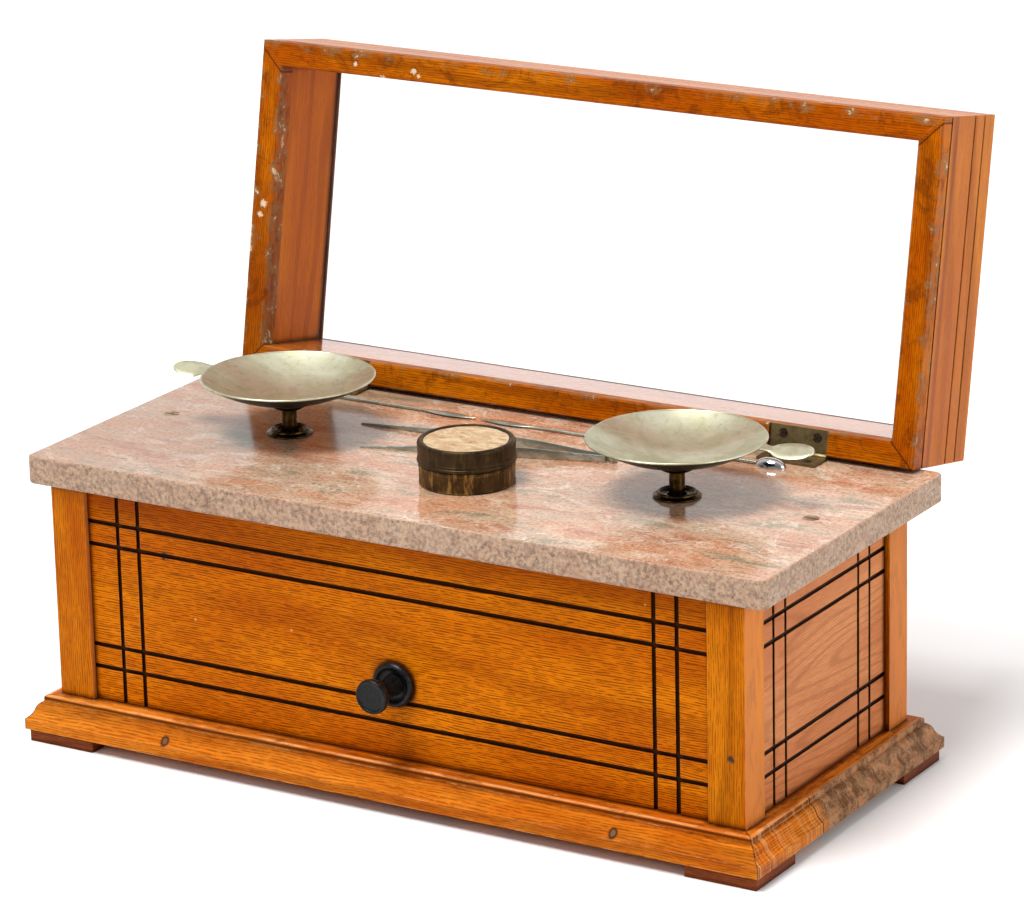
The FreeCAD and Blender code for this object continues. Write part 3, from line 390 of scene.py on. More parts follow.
def scraped(mat, xyz, colour):
    """Right-hand moulding: varnish scraped off across the slope, grey-brown towards the rear."""
    outside = mat.span(xyz["X"], CASE_SIDE + 4.0 * MM, CASE_SIDE + 6.0 * MM)
    hatch = mat.streaks(mat.position(), (16, 760, 16), 3, 0.65)
    cloud = mat.noise(mat.position(), 120, 6, 0.75, 0.2)
    pit = mat.noise(mat.position(), 240, 5, 0.75, 0.3)
    crack_y = MARBLE_LOW.y + CRACK_SHARE * (MARBLE_HIGH.y - MARBLE_LOW.y)
    waver = mat.times(cloud, 6 * MM)
    rear = mat.span(mat.plus(xyz["Y"], waver), crack_y, crack_y + 12 * MM)
    near = mat.tint(colour, hatch, 0.5, 0.64, 0.5, (206, 166, 112))
    near = mat.tint(near, hatch, 0.44, 0.34, 0.35, (124, 68, 24))
    far = mat.mix(mat.span(cloud, 0.42, 0.58), (112, 72, 44), (176, 130, 92))
    far = mat.tint(far, hatch, 0.54, 0.68, 0.45, (182, 154, 116))
    far = mat.tint(far, pit, 0.5, 0.62, 0.6, (74, 46, 28))
    far = mat.tint(far, cloud, 0.55, 0.64, 0.6, (184, 112, 56))
    bare = mat.mix(rear, near, far)
    off_crack = mat.minus(mat.plus(xyz["Y"], mat.times(waver, 0.2)), crack_y)
    cut = mat.span(mat.absolute(off_crack), 0.6 * MM, 0.2 * MM)
    bare = mat.mix(cut, bare, (48, 26, 14))
    return mat.mix(outside, colour, bare)


def moulding_line(mat, xyz, colour):
    """Painted shadow line along the small upright step under the moulding's worn top edge, and dirt
    in the mitres.
    """
    step = mat.absolute(mat.minus(xyz["Z"], MOULDING_STEP))
    # painted shadow: dark line along the upright step below the top edge
    colour = mat.tint(colour, step, 0.9 * MM, 0.4 * MM, 0.85, (70, 26, 6))
    streak = mat.streaks(mat.position(), (40, 40, 300), 5, 0.7)
    lip = mat.span(mat.absolute(mat.minus(xyz["Z"], MOULDING_TOP)), 0.5 * MM, 0.2 * MM)
    out_x = mat.minus(mat.absolute(xyz["X"]), CASE_SIDE)
    out_y = mat.minus(CASE_FRONT, xyz["Y"])
    edge = mat.span(mat.math("MAXIMUM", out_x, out_y), LEDGE - 2.2 * MM, LEDGE - 1.0 * MM)
    pale = mat.times(mat.times(lip, edge), mat.span(streak, 0.38, 0.56, 0.15, 0.8))
    colour = mat.mix(pale, colour, (232, 164, 104))
    colour = mat.tint(colour, streak, 0.56, 0.68, 0.55, (98, 40, 6))
    mitre = mat.absolute(mat.minus(out_x, out_y))
    mitre = mat.math("MAXIMUM", mitre, mat.times(out_x, -1.0))
    return mat.tint(colour, mitre, 0.6 * MM, 0.25 * MM, 0.8, (60, 28, 12))


def nail_dents(mat, xyz, colour):
    """The moulding line, and filled nail holes near both ends of the front."""
    colour = moulding_line(mat, xyz, colour)
    for share in NAIL_SHARES:
        x = MARBLE_LOW.x + share * (MARBLE_HIGH.x - MARBLE_LOW.x)
        off = mat.node("VectorMath",
                       {0: mat.join(xyz["X"], 0.0, xyz["Z"]), 1: (x, 0.0, NAIL_HEIGHT)},
                       operation="DISTANCE")
        gap = off.outputs["Value"]
        colour = mat.tint(colour, gap, 3.0 * MM, 1.6 * MM, 0.9, (52, 24, 12))
        colour = mat.tint(colour, gap, 1.5 * MM, 1.0 * MM, 0.6, (122, 100, 84))
    return colour


def slab_shadow_top(mat, xyz, colour):
    """Front panel: painted shadow, darker and redder, in the shade under the slab's edge."""
    drop = mat.minus(MARBLE_LOW.z, xyz["Z"])
    return mat.tint(colour, drop, 15 * MM, 3 * MM, 0.45, (128, 40, 0))


def scraped_moulding(mat, xyz, colour):
    return scraped(mat, xyz, moulding_line(mat, xyz, colour))


def rim_grain(mat, xyz):
    """Grain round the mitred rim: along X on the long lengths and along Y on the short ones."""
    from_end, from_edge, _ = rim_across(mat, xyz)
    is_side = mat.math("LESS_THAN", from_end, from_edge)
    along = mat.join(xyz["X"], xyz["Y"], xyz["Z"])
    across = mat.join(xyz["Y"], xyz["X"], xyz["Z"])
    return mat.mix(is_side, along, across)


def dress_wood():
    front_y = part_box("panel_front")[0].y
    side_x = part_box("panel_right")[1].x
    woods = {
        # the front panel's extra paints a shadow band under the slab
        "panel_front": wood("oak_front", "x", FRONT_TONES, rings=4, lines=0.75, bands=0.2,
                            groove=("Y", front_y, 1), extra=slab_shadow_top),
        "panel_rear": wood("oak_rear", "x", FRONT_TONES, rings=5, shift=(0.4, 0.1, 0)),
        # the posts' extra paints a paler sheen on their right-hand faces
        "corner_posts": wood("oak_posts", "z", POST_TONES, rings=6, shift=(0.3, 0.2, 0),
                             extra=right_face_sheen),
        "feet": wood("foot_wood", "x", FOOT_TONES, worn=0.5),
        "base_board": wood("oak_floor", "x", PLINTH_TONES),
        "top_rails": wood("pine_rails", "x", PINE_TONES),
        "glue_blocks": wood("pine_blocks", "z", PINE_TONES),
        "lid_wall_front": wood("oak_lid_front", "x", WALL_TONES, closed=True, rings=5, gloss=0.3),
        "lid_wall_rear": wood("oak_lid_rear", "x", WALL_TONES, closed=True, rings=5, gloss=1.0),
        "lid_wall_left": wood("oak_lid_left", "y", INNER_TONES, closed=True, rings=5, lines=0.25),
        "lid_wall_right": wood("oak_lid_right", "y", WALL_TONES, closed=True, rings=3, lines=0.25,
                               groove=("X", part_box("lid_wall_right")[1].x, -1),
                               extra=rim_shadow_line),
        "lid_rim": wood("oak_lid_rim", "flat", LID_TONES, closed=True, rings=5, worn=0.25,
                        vector=rim_grain, extra=chipped_rim),
        "glazing_beads": wood("oak_beads", "x", LID_TONES, closed=True),
    }
    for side, sign, shift in (("right", 1, (0.2, 0, 0.7)), ("left", -1, (0.9, 0, 0.3))):
        woods["panel_" + side] = wood("oak_" + side, "y", SIDE_SHEEN_TONES, rings=22, shift=shift,
                                      lines=0.28, bands=0.3, groove=("X", sign * side_x, -sign))
    for side, axis, worn, extra in (
            ("front", "x", 0.9, nail_dents), ("rear", "x", 0.9, moulding_line),
            ("left", "y", 0.9, moulding_line), ("right", "y", 0.5, scraped_moulding)):
        woods["plinth_" + side] = wood("oak_plinth_" + side, axis, PLINTH_TONES, rings=4, worn=worn,
                                       extra=extra)
    for node, material in woods.items():
        use(NODES[node], material)
        soften(NODES[node], 0.45 * MM)


# ---- stone, metal and the rest ----
def marble_material():
    """Rose marble: drawn-out pink, beige and grey, faint veins, grit, weathered edges, and painted
    shade on the left end.
    """
    mat = Shader("rose_marble", IOR=1.95)
    place = mat.position()
    drawn = mat.stretch(place, (9, 30, 30))
    layer = mat.noise(drawn, 1.5, 8, 0.72, 0.5)
    layer_2 = mat.noise(mat.stretch(drawn, (1, 1, 1), (4, 2, 0)), 2.6, 8, 0.72, 0.4)
    blotch = mat.noise(mat.stretch(place, (0.6, 1, 1)), 85, 6, 0.75, 0.5)
    grit = mat.noise(place, 520, 4, 0.75)

    colour = mat.mix(mat.span(layer, 0.4, 0.6), (208, 148, 112), (198, 166, 138))
    colour = mat.tint(colour, layer_2, 0.5, 0.62, 0.7, (172, 104, 72))
    colour = mat.tint(colour, layer_2, 0.47, 0.37, 0.85, (142, 132, 104))
    colour = mat.tint(colour, blotch, 0.48, 0.62, 0.6, (228, 192, 162))
    wave = mat.streaks(place, (14, 20, 20), 6, 0.6, 0.9)
    crack = mat.absolute(mat.minus(wave, 0.5))
    vein = mat.times(mat.span(crack, 0.016, 0.0), mat.span(blotch, 0.4, 0.55))
    colour = mat.mix(mat.times(vein, 0.6), colour, (236, 224, 208))
    colour = mat.tint(colour, grit, 0.52, 0.66, 0.45, (240, 208, 178))
    colour = mat.tint(colour, grit, 0.48, 0.34, 0.75, (122, 78, 52))

    # painted shade: the slab is darkened and greyed towards its left end
    left_end_shade = mat.span(mat.split(place)["X"], -0.02, -0.16, 0, 0.4)
    colour = mat.mix(left_end_shade, colour, (120, 92, 70))
    up = mat.facing("Z")
    is_top = mat.span(up, 0.86, 0.97)
    pitted = mat.noise(place, 480, 6, 0.85)
    patch = mat.noise(mat.stretch(place, (1, 1, 1.6)), 60, 4, 0.65, 0.6)
    side = mat.mix(mat.span(pitted, 0.36, 0.6), (98, 66, 44), (202, 162, 126))
    side = mat.tint(side, patch, 0.52, 0.68, 0.45, (146, 90, 56))
    side = mat.tint(side, patch, 0.46, 0.32, 0.4, (208, 176, 148))
    side = mat.mix(mat.span(blotch, 0.46, 0.6, 0, 0.3), side, colour)
    arris = mat.worn_edges(1.5 * MM)
    rubbed = mat.times(arris, mat.span(blotch, 0.36, 0.56, 0.15, 0.75))
    side = mat.mix(rubbed, side, (206, 134, 90))
    colour = mat.mix(is_top, side, colour)
    rough = mat.blend_value(is_top, 0.6, mat.span(layer_2, 0.3, 0.7, 0.07, 0.15))
    mat.set(Base_Color=colour, Roughness=rough)
    depth = mat.times(mat.minus(1.0, mat.times(is_top, 0.985)),
                      mat.plus(grit, mat.times(pitted, 2.5)))
    return mat.bump(depth, 0.35 * MM)


def metal(name, bright, dull, dark, rough, scale, stretch=(1, 1, 1), grime=0.5, metallic=1.0):
    """Old metal: bright and dull patches, dark tarnish in spots, fine scratches.

    rough holds the roughness of the bright and the dull patches, grime how dark the tarnish is.
    """
    mat = Shader(name)
    place = mat.position()
    drawn = mat.stretch(place, stretch)
    patch = mat.noise(drawn, scale, 5, 0.62, 0.3)
    tarnish = mat.noise(drawn, scale * 2.7, 6, 0.7, 0.2)
    scratch = mat.streaks(place, (500, 2600, 900), 2)
    colour = mat.mix(mat.span(patch, 0.36, 0.64), dull, bright)
    colour = mat.tint(colour, tarnish, 0.5, 0.72, grime, dark)
    mat.set(Base_Color=colour, Metallic=metallic,
            Roughness=mat.span(patch, 0.3, 0.7, rough[1], rough[0]))
    height = mat.plus(mat.times(scratch, 0.35), tarnish)
    return mat.bump(height, 0.035 * MM)


def pan_material():
    """Worn nickel over brass inside, with painted shade turning the downward faces near black."""
    mat = Shader("pan_nickel", Metallic=0.92)
    place = mat.position()
    patch = mat.noise(mat.stretch(place, (1, 1.6, 1)), 45, 5, 0.62, 0.6)
    fine = mat.noise(place, 260, 5, 0.7)
    colour = mat.mix(mat.span(patch, 0.34, 0.66), (196, 192, 158), (224, 222, 196))
    colour = mat.tint(colour, fine, 0.5, 0.75, 0.4, (132, 124, 92))
    mark = mat.spots(place, 130, 0.05, 0.2)
    colour = mat.mix(mat.times(mark, 0.6), colour, (112, 72, 52))
    down = mat.facing("Z")
    under = mat.span(down, -0.05, -0.35)
    # painted shade: the faces that turn downwards are darkened near to black
    colour = mat.mix(mat.times(under, 0.94), colour, (36, 31, 24))
    rough = mat.span(patch, 0.3, 0.7, 0.4, 0.3)
    mat.set(Base_Color=colour, Roughness=rough)
    return mat.bump(mat.plus(fine, patch), 0.05 * MM)


def ebony_material():
    mat = Shader("ebonised_wood", Specular_IOR_Level=0.22)
    place = mat.position()
    fibre = mat.streaks(place, (900, 200, 900), 3)
    rub = mat.worn_edges(0.7 * MM)
    colour = mat.mix(mat.span(fibre, 0.4, 0.7), (12, 12, 13), (26, 24, 23))
    colour = mat.mix(mat.times(rub, 0.35), colour, (104, 92, 76))
    mat.set(Base_Color=colour, Roughness=mat.span(fibre, 0.3, 0.7, 0.25, 0.4))
    return mat.bump(fibre, 0.03 * MM)


def tin_material(name, body, wear_colour, wear, streaks):
    """Brown-black japanned tinplate, rubbed through to brass colour on its ribs and edges."""
    mat = Shader(name, Specular_IOR_Level=0.4, Specular_Tint=(255, 214, 150))
    place = mat.position()
    blotch = mat.noise(place, 150, 5, 0.65, 0.4)
    upright = mat.streaks(place, (320, 320, 60), 4, 0.65)
    edge = mat.worn_edges(0.5 * MM)
    colour = mat.mix(mat.span(blotch, 0.35, 0.7), body[0], body[1])
    rubbed = mat.times(mat.span(upright, 0.5, 0.66), streaks)
    colour = mat.mix(rubbed, colour, wear_colour)
    rim = mat.times(edge, mat.span(blotch, 0.38, 0.6))
    colour = mat.mix(mat.times(rim, wear), colour, wear_colour)
    mat.set(Base_Color=colour, Metallic=0.35, Roughness=mat.span(blotch, 0.3, 0.7, 0.3, 0.46))
    return mat.bump(mat.plus(blotch, rubbed), 0.08 * MM)


def paper_material():
    mat = Shader("aged_paper", Roughness=0.85)
    place = mat.position()
    stain = mat.noise(mat.stretch(place, (1, 1.7, 1)), 110, 6, 0.66, 0.8)
    fibre = mat.noise(place, 900, 3)
    colour = mat.mix(mat.span(stain, 0.4, 0.56), (206, 184, 148), (186, 150, 110))
    colour = mat.tint(colour, stain, 0.58, 0.66, 0.8, (112, 78, 52))
    colour = mat.tint(colour, fibre, 0.5, 0.8, 0.4, (224, 210, 178))
    mat.set(Base_Color=colour)
    return mat.bump(mat.plus(stain, fibre), 0.12 * MM)


def glass_material():
    mat = Shader("window_glass", Roughness=0.03, IOR=1.5, Alpha=0.06)
    haze = mat.noise(mat.position(), 30, 4)
    tint = mat.mix(haze, (236, 246, 242), (250, 252, 250))
    mat.set(Base_Color=tint)
    return mat.material


def agate_material():
    mat = Shader("agate", Coat_Weight=0.6)
    band = mat.streaks(mat.position(), (60, 60, 400), 4, 0.6, 1.5)
    mat.set(Base_Color=mat.mix(band, (150, 92, 70), (214, 190, 172)), Roughness=0.15)
    return mat.bump(band, 0.01 * MM)


def leather_material():
    mat = Shader("pad_leather", Roughness=0.7)
    place = mat.position()
    cells = mat.node("TexVoronoi", {"Vector": place, "Scale": 900.0}).outputs["Distance"]
    mat.set(Base_Color=mat.mix(mat.noise(place, 300, 4), (84, 48, 26), (130, 82, 50)))
    return mat.bump(cells, 0.12 * MM)


# ---- mesh tools ----
def use(piece, material):
    piece.data.materials.clear()
    piece.data.materials.append(material)


def soften(piece, width):
    """Round a CAD node's sharp corners a little, with modifiers only."""
    weld = piece.modifiers.new("weld", "WELD")
    weld.merge_threshold = 0.002 * MM
    bevel = piece.modifiers.new("soft_corners", "BEVEL")
    bevel.width = width
    bevel.segments = 2
    bevel.limit_method = "ANGLE"
    bevel.angle_limit = math.radians(40)
    bevel.harden_normals = True


def placed(name, data):
    """New object that holds data, linked into the scene."""
    piece = bpy.data.objects.new(name, data)
    bpy.context.scene.collection.objects.link(piece)
    return piece


def piece_from(name, points, faces, sharp=35):
    mesh = bpy.data.meshes.new(name)
    mesh.from_pydata([tuple(point) for point in points], [], faces)
    work = bmesh.new()
    work.from_mesh(mesh)
    bmesh.ops.remove_doubles(work, verts=work.verts, dist=1e-7)
    bmesh.ops.recalc_face_normals(work, faces=work.faces)
    work.to_mesh(mesh)
    work.free()
    mesh.shade_smooth()
    mesh.set_sharp_from_angle(angle=math.radians(sharp))
    return placed(name, mesh)


def loft(rings, closed=False):
    """Points and faces through equal rings of points; the ends are capped unless closed."""
    count = len(rings[0])
    points = [point for ring in rings for point in ring]
    faces = []
    last = len(rings) if closed else len(rings) - 1
    for row in range(last):
        low, high = row * count, (row + 1) % len(rings) * count
        for at in range(count):
            after = (at + 1) % count
            faces.append((low + at, low + after, high + after, high + at))
    if not closed:
        faces.append(tuple(range(count))[::-1])
        faces.append(tuple(range(len(points) - count, len(points))))
    return points, faces


def rounded(profile, steps=6):
    """Closed Catmull-Rom profile through the corners; a third entry keeps a corner sharp."""
    smooth = []
    count = len(profile)
    for index in range(count):
        before, here, after, then = [profile[(index + k) % count] for k in (-1, 0, 1, 2)]
        p0, p1, p2, p3 = [Vector(point[:2]) for point in (before, here, after, then)]
        if len(here) == 3:
            p0 = p1 - (p2 - p1)
        if len(after) == 3:
            p3 = p2 + (p2 - p1)
        if len(here) == 3 and len(after) == 3:
            smooth.append(tuple(p1))
            continue
        for step in range(steps):
            t = step / steps
            point = 0.5 * (2 * p1 + (p2 - p0) * t + (2 * p0 - 5 * p1 + 4 * p2 - p3) * t * t
                           + (3 * p1 - p0 - 3 * p2 + p3) * t ** 3)
            smooth.append((max(point.x, 0.0), point.y))
    return smooth


def steps_from(radius, level, *steps):
    """Profile points at these steps out from a radius and up from a level."""
    return [(radius + out, level + up, *keep) for out, up, *keep in steps]


def turned(name, profile, centre, axis="z", segments=96, warp=None):
    """Piece of revolution; the closed profile holds (radius, height) in millimetres."""
    rings = []
    for step in range(segments):
        angle = TAU * step / segments
        ring = []
        for radius, height in profile:
            side, up = radius * MM * math.cos(angle), radius * MM * math.sin(angle)
            if axis == "z":
                point = Vector((centre.x + side, centre.y + up, height * MM))
            else:
                point = Vector((centre.x + side, height * MM, centre.z + up))
            ring.append(warp(point) if warp else point)
        rings.append(ring)
    points, faces = loft(rings, closed=True)
    return piece_from(name, points, faces)


def finished(piece, body, slot, material, *replaced):
    use(piece, material)
    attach(piece, body)
    if replaced:
        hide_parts(*replaced)
    return piece


# ---- pans and what carries them ----
# in millimetres
PAN_SHEET = 0.75
BEAD_R = 0.62
SPIGOT_R, SPIGOT_LENGTH = 1.8, 2.8    # the column's end inside the pan support
COLLAR_BORE = 4.7
TAB_LOBE, TAB_LOBE_HALF, TAB_NECK_HALF = 10.5, 6.0, 2.2
TAB_ROLL = math.radians(20)           # the lobes are twisted, with their front edges lower
TAB_TURN = math.radians(8)
TAB_SHEET = 0.8


def pan_dish(side):
    """Spun dish with a rolled rim and slight dents."""
    column = middle("column_" + side)
    low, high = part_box("pan_" + side)
    rim_r = (high.y - low.y) / 2 / MM
    rim_z, base_z = high.z / MM - 0.5, low.z / MM
    deep = rim_z - base_z
    sphere = (rim_r ** 2 + deep ** 2) / (2 * deep)

    def arc(offset, share):
        angle = share * math.asin((rim_r - 0.3) / sphere)
        radius = sphere - offset
        return radius * math.sin(angle), base_z + sphere - radius * math.cos(angle)

    steps = 22
    outer = [arc(0.0, step / steps) for step in range(steps + 1)]
    inner = [arc(PAN_SHEET, step / steps) for step in range(steps, -1, -1)]
    bead = []
    for step in range(1, 10):
        angle = math.radians(-60 + 250 * step / 10)
        bead.append((rim_r - BEAD_R + BEAD_R * math.cos(angle),
                     rim_z + 0.1 - BEAD_R * 0.2 + BEAD_R * math.sin(angle)))
    seed = Vector((3.1, 7.7, 1.3)) * (1 if side == "left" else 2)

    def dent(point):
        push = noise.noise(point * 60 + seed) * 0.22 + noise.noise(point * 160 + seed) * 0.06
        return point + Vector((0, 0, push * MM))

    dish = turned("pan_dish_" + side, outer + bead + inner, column, warp=dent, segments=128)
    return dish, column, rim_r, rim_z


def tab_half_width(along, length):
    """Half width of the thumb tab: flared root, narrow neck, leaf-shaped lobe with a round end."""
    lobe_start = length - 2 * TAB_LOBE
    root = 2.6 * math.exp(-along / 2.2)
    share = (along - lobe_start - TAB_LOBE) / TAB_LOBE
    lobe = TAB_LOBE_HALF * math.sqrt(max(0.0, 1 - abs(share) ** 2.3)) if share > -1 else 0.0
    return max(lobe, TAB_NECK_HALF * min(1.0, max(0.02, (length - along) / 1.0))) + root


def pan_tab(side, column, rim_r, rim_z):
    """Leaf-shaped tab, dropped a little below the rim."""
    low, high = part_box("pan_" + side)
    reach = max(high.x - column.x, column.x - low.x) / MM / math.cos(TAB_TURN) - 0.2
    start = rim_r - 1.0
    length = reach - start
    turn = TAB_TURN if side == "right" else math.pi + TAB_TURN
    way = Vector((math.cos(turn), math.sin(turn), 0))
    across = Vector((-way.y, way.x, 0))
    front = math.copysign(1.0, across.y)
    steps = 36
    rings = []
    for step in range(steps + 1):
        along = length * (1 - (1 - step / steps) ** 1.4)
        half = tab_half_width(along, length)
        sag = -0.7 - 1.1 * math.sin(min(1.0, along / 8) * math.pi / 2)
        lift = 1.3 * max(0.0, along / length - 0.35)
        ring = []
        for share, top in ((-1, 0.5), (-0.9, 1), (-0.45, 1), (0, 1), (0.45, 1), (0.9, 1), (1, 0.5),
                           (0.9, 0), (0.45, 0), (0, 0), (-0.45, 0), (-0.9, 0)):
            roll = front * TAB_ROLL * min(1.0, along / 7)
            out, up = share * half * math.cos(roll), share * half * math.sin(roll)
            point = Vector((column.x, column.y, (rim_z + sag + lift + up + top * TAB_SHEET) * MM))
            ring.append(point + way * (start + along) * MM + across * out * MM)
        rings.append(ring)
    return piece_from("pan_tab_" + side, *loft(rings), sharp=50)


def make_pans(nickel):
    for side in SIDES:
        dish, column, rim_r, rim_z = pan_dish(side)
        tab = pan_tab(side, column, rim_r, rim_z)
        node = "pan_" + side
        finished(dish, side + "_pan", "pan_metal", nickel, node)
        finished(tab, side + "_pan", "pan_metal", nickel, node)


def make_supports(brass, dark):
    """Turned dishes under the pans, and low rings round the columns."""
    for side in SIDES:
        node = "pan_support_" + side
        low, high, radius = box_mm(node)
        socket = low.z + SPIGOT_LENGTH
        profile = rounded([
            (0, socket, 1), (SPIGOT_R, socket, 1), (SPIGOT_R, low.z, 1),
            *steps_from(0, low.z, (4.2, 0, 1), (4.6, 0.35), (6.4, 0.7)),
            *steps_from(radius, low.z, (-1.2, 1.8), (-0.3, 2.5), (0, 3.1)),
            *steps_from(radius, high.z, (-0.2, -0.2), (-0.8, 0, 1)), (0, high.z, 1)])
        dish = turned("support_dish_" + side, profile, middle(node))
        finished(dish, side + "_column", "turned_brass", dark, node)
    low, high, _ = box_mm("column_collars")
    for side in SIDES:
        centre = middle("column_" + side)
        outer = high.x - centre.x / MM if side == "right" else centre.x / MM - low.x
        base, top = low.z, high.z
        profile = rounded([
            (COLLAR_BORE, base, 1),
            *steps_from(outer, base, (-0.5, 0, 1), (0, 0.45), (-0.2, 1), (-1.2, 1.5), (-1.9, 1.9)),
            *steps_from(outer, top, (-2.1, -0.4), (-2.6, 0), (-3.3, -0.2)),
            (outer - 3.9, base + 1.7), (6.6, base + 1.3), (COLLAR_BORE, base + 1.2, 1)])
        cup = turned("collar_cup_" + side, profile, centre)
        finished(cup, "case", "turned_brass", brass, "column_collars")


# ---- knob ----
def make_knob(ebony):
    """Button with a dished face and waisted neck, and the rolled rosette behind it."""
    low, high, radius = box_mm("arrest_knob")
    centre = middle("arrest_knob")
    front, back = low.y, high.y
    shaft = 3.02
    profile = rounded([
        (0, front + 0.9, 1),
        *steps_from(radius, front, (-2.6, 0.7), (-1.3, 0.15), (-0.5, 0.2), (0, 1.2), (-0.15, 3.0),
                    (-0.9, 4.6)),
        *steps_from(0, front, (5.6, 6.4), (4.5, 8.6), (4.2, 12.0), (4.6, 15.5)),
        (5.3, back, 1), (shaft, back, 1), (shaft, front + 5.0, 1), (0, front + 5.0, 1)])
    button = turned("knob_button", profile, centre, axis="y")
    finished(button, "knob_body", "ebonised", ebony, "arrest_knob")
    low, high, outer = box_mm("knob_flange")
    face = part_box("panel_front")[0].y / MM
    bore, bush = 3.06, 5.95
    profile = rounded([
        (bore, high.y, 1), (bush, high.y, 1), (bush, face, 1),
        *steps_from(outer, face, (-0.9, 0, 1), (-0.1, -0.9), (-0.1, -2.2)),
        *steps_from(outer, low.y, (-1.1, 0), (-2.3, 0.1)),
        (7.9, face - 2.4), (6.4, face - 1.5), (bore, face - 1.4, 1)])
    rosette = turned("knob_rosette", profile, centre, axis="y")
    finished(rosette, "case", "ebonised", ebony, "knob_flange")


# ---- tin ----
def make_tin(lid_paint, base_paint, paper):
    """Base with a beaded skirt and a neck, overlapping cover and a cockled paper disc."""
    low, high, radius = box_mm("tin_base")
    centre = middle("tin_base")
    neck, joint_z = radius - 0.9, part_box("tin_lid")[0].z / MM
    base, floor = low.z, low.z + 1.0
    skirt = joint_z - 0.4
    profile = rounded([
        (0, base + 0.5, 1),
        *steps_from(radius, base, (-2.2, 0.4), (-0.9, 0), (-0.1, 0.7), (-0.25, 1.6)),
        *steps_from(radius, skirt, (-0.2, -2.2), (0, -1.5), (-0.15, -0.9), (-0.05, -0.3),
                    (-0.5, 0)),
        (neck, skirt + 0.2, 1), (neck, high.z, 1), (neck - 0.9, high.z, 1), (neck - 0.9, floor, 1),
        (0, floor, 1)], steps=4)
    base_piece = turned("tin_body", profile, centre)
    finished(base_piece, "tin", "japanned_tin", base_paint, "tin_base")

    low, high, outer = box_mm("tin_lid")
    top, inner, ring = high.z, outer - 1.1, outer - 3.0
    profile = rounded([
        (inner, low.z, 1),
        *steps_from(outer, low.z, (-0.5, 0), (0, 0.7), (-0.15, 1.3), (-0.45, 1.7), (-0.3, 2.6),
                    (-0.5, 3.4)),
        *steps_from(outer, top, (-0.35, -2.6), (-0.3, -1.3), (-1.1, -0.1), (-2.0, 0)),
        (ring, top - 0.3), (ring - 0.5, top - 0.9, 1),
        (0, top - 0.95, 1), (0, top - 1.9, 1), (inner, top - 1.9, 1)], steps=5)
    lid_piece = turned("tin_cover_shell", profile, centre)
    finished(lid_piece, "tin_cover", "japanned_tin", lid_paint, "tin_lid")

    low, _, radius = box_mm("tin_label")
    flat = low.z

    def cockle(point):
        away = (point - centre).to_2d().length / MM
        lift = 0.18 * noise.noise(point * 260) * (away / radius)
        edge = 0.35 * noise.noise(point * 330 + Vector((5, 5, 5))) if away > radius - 0.5 else 0.0
        out = (point - centre).to_2d().normalized() if away > 0 else Vector((0, 0))
        return point + Vector((out.x * edge, out.y * edge, max(lift, -0.05))) * MM

    rings = [(radius * step / 8, flat + 0.32) for step in range(9)]
    under = [(radius * step / 8, flat + 0.03) for step in range(8, -1, -1)]
    label = turned("tin_paper", rings + under, centre, warp=cockle)
    finished(label, "tin_cover", "label_paper", paper, "tin_label")


# ---- tools on the slab ----
LEAF_WIDEST = 0.55                    # share of a spatula's blade


def strip(name, root, tip, stations, start=0.0, low=0.1):
    """Strip on its edge from root to tip; a station is (share, height, half thickness, bow)."""
    way = (tip - root).normalized()
    across = Vector((-way.y, way.x, 0))
    length = (tip - root).length / MM
    rings = []
    for share, height, half, bow in stations:
        along = start + (length - start) * share
        middle_line = root + way * along * MM + across * bow * MM
        ring = []
        for side, up in ((-1, 0.12), (-0.7, 0), (0.7, 0), (1, 0.12), (1, 0.88), (0.7, 1),
                         (-0.7, 1), (-1, 0.88)):
            point = middle_line + across * side * half * MM
            ring.append(Vector((point.x, point.y, TOP + (low + up * height) * MM)))
        rings.append(ring)
    return piece_from(name, *loft(rings), sharp=40)


def arm_stations(bow):
    """Heights and thickness along a tweezer blade, from its root to its fine point."""
    table = [(0.0, 3.4, 0.5), (0.12, 3.8, 0.5), (0.3, 5.0, 0.5), (0.45, 5.0, 0.5), (0.62, 4.2, 0.5),
             (0.74, 2.8, 0.5), (0.86, 1.7, 0.45), (0.95, 1.1, 0.35), (1.0, 0.7, 0.2)]
    return [(share, height, half, bow * math.sin(share * math.pi)) for share, height, half in table]


def make_tweezers(steel):
    """Two spring blades that meet in a round bend."""
    heel = Vector(joint("tweezers_squeeze")["pos_m"])
    far_low, far_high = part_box("tweezers_far_arm")
    near_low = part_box("tweezers_near_arm")[0]
    far_root = Vector((heel.x, far_high.y - 2.2 * MM, TOP))
    far_tip = Vector((far_low.x, far_root.y - 3.0 * MM, TOP))
    far = strip("tweezers_far_blade", far_root, far_tip, arm_stations(-0.5))
    finished(far, "tweezers", "steel", steel, "tweezers_far_arm")
    root = Vector((heel.x, heel.y, TOP))
    near_tip = Vector((near_low.x, near_low.y + 0.6 * MM, TOP))
    near = strip("tweezers_near_blade", root, near_tip, arm_stations(0.5), start=3.0)
    finished(near, "tweezers_arm", "steel", steel, "tweezers_near_arm")
    base = TOP / MM + 0.1
    profile = rounded(steps_from(0, base, (0, 0, 1), (1.7, 0), (2.1, 0.5), (2.1, 3.0), (1.7, 3.5),
                                 (0, 3.55, 1)))
    bend = turned("tweezers_bend", profile, far_root, segments=40)
    finished(bend, "tweezers", "steel", steel, "tweezers_far_arm")


def leaf_half_width(share):
    """Half width of a spatula's blade from its neck to its point, widest at LEAF_WIDEST."""
    swell = math.sin(min(1.0, share / LEAF_WIDEST) * math.pi / 2) ** 2
    past = (share - LEAF_WIDEST) / (1 - LEAF_WIDEST)
    narrowing = 1 if past < 0 else math.cos(past * math.pi / 2) ** 1.2
    return 0.9 + 2.3 * swell * narrowing - 0.5 * share


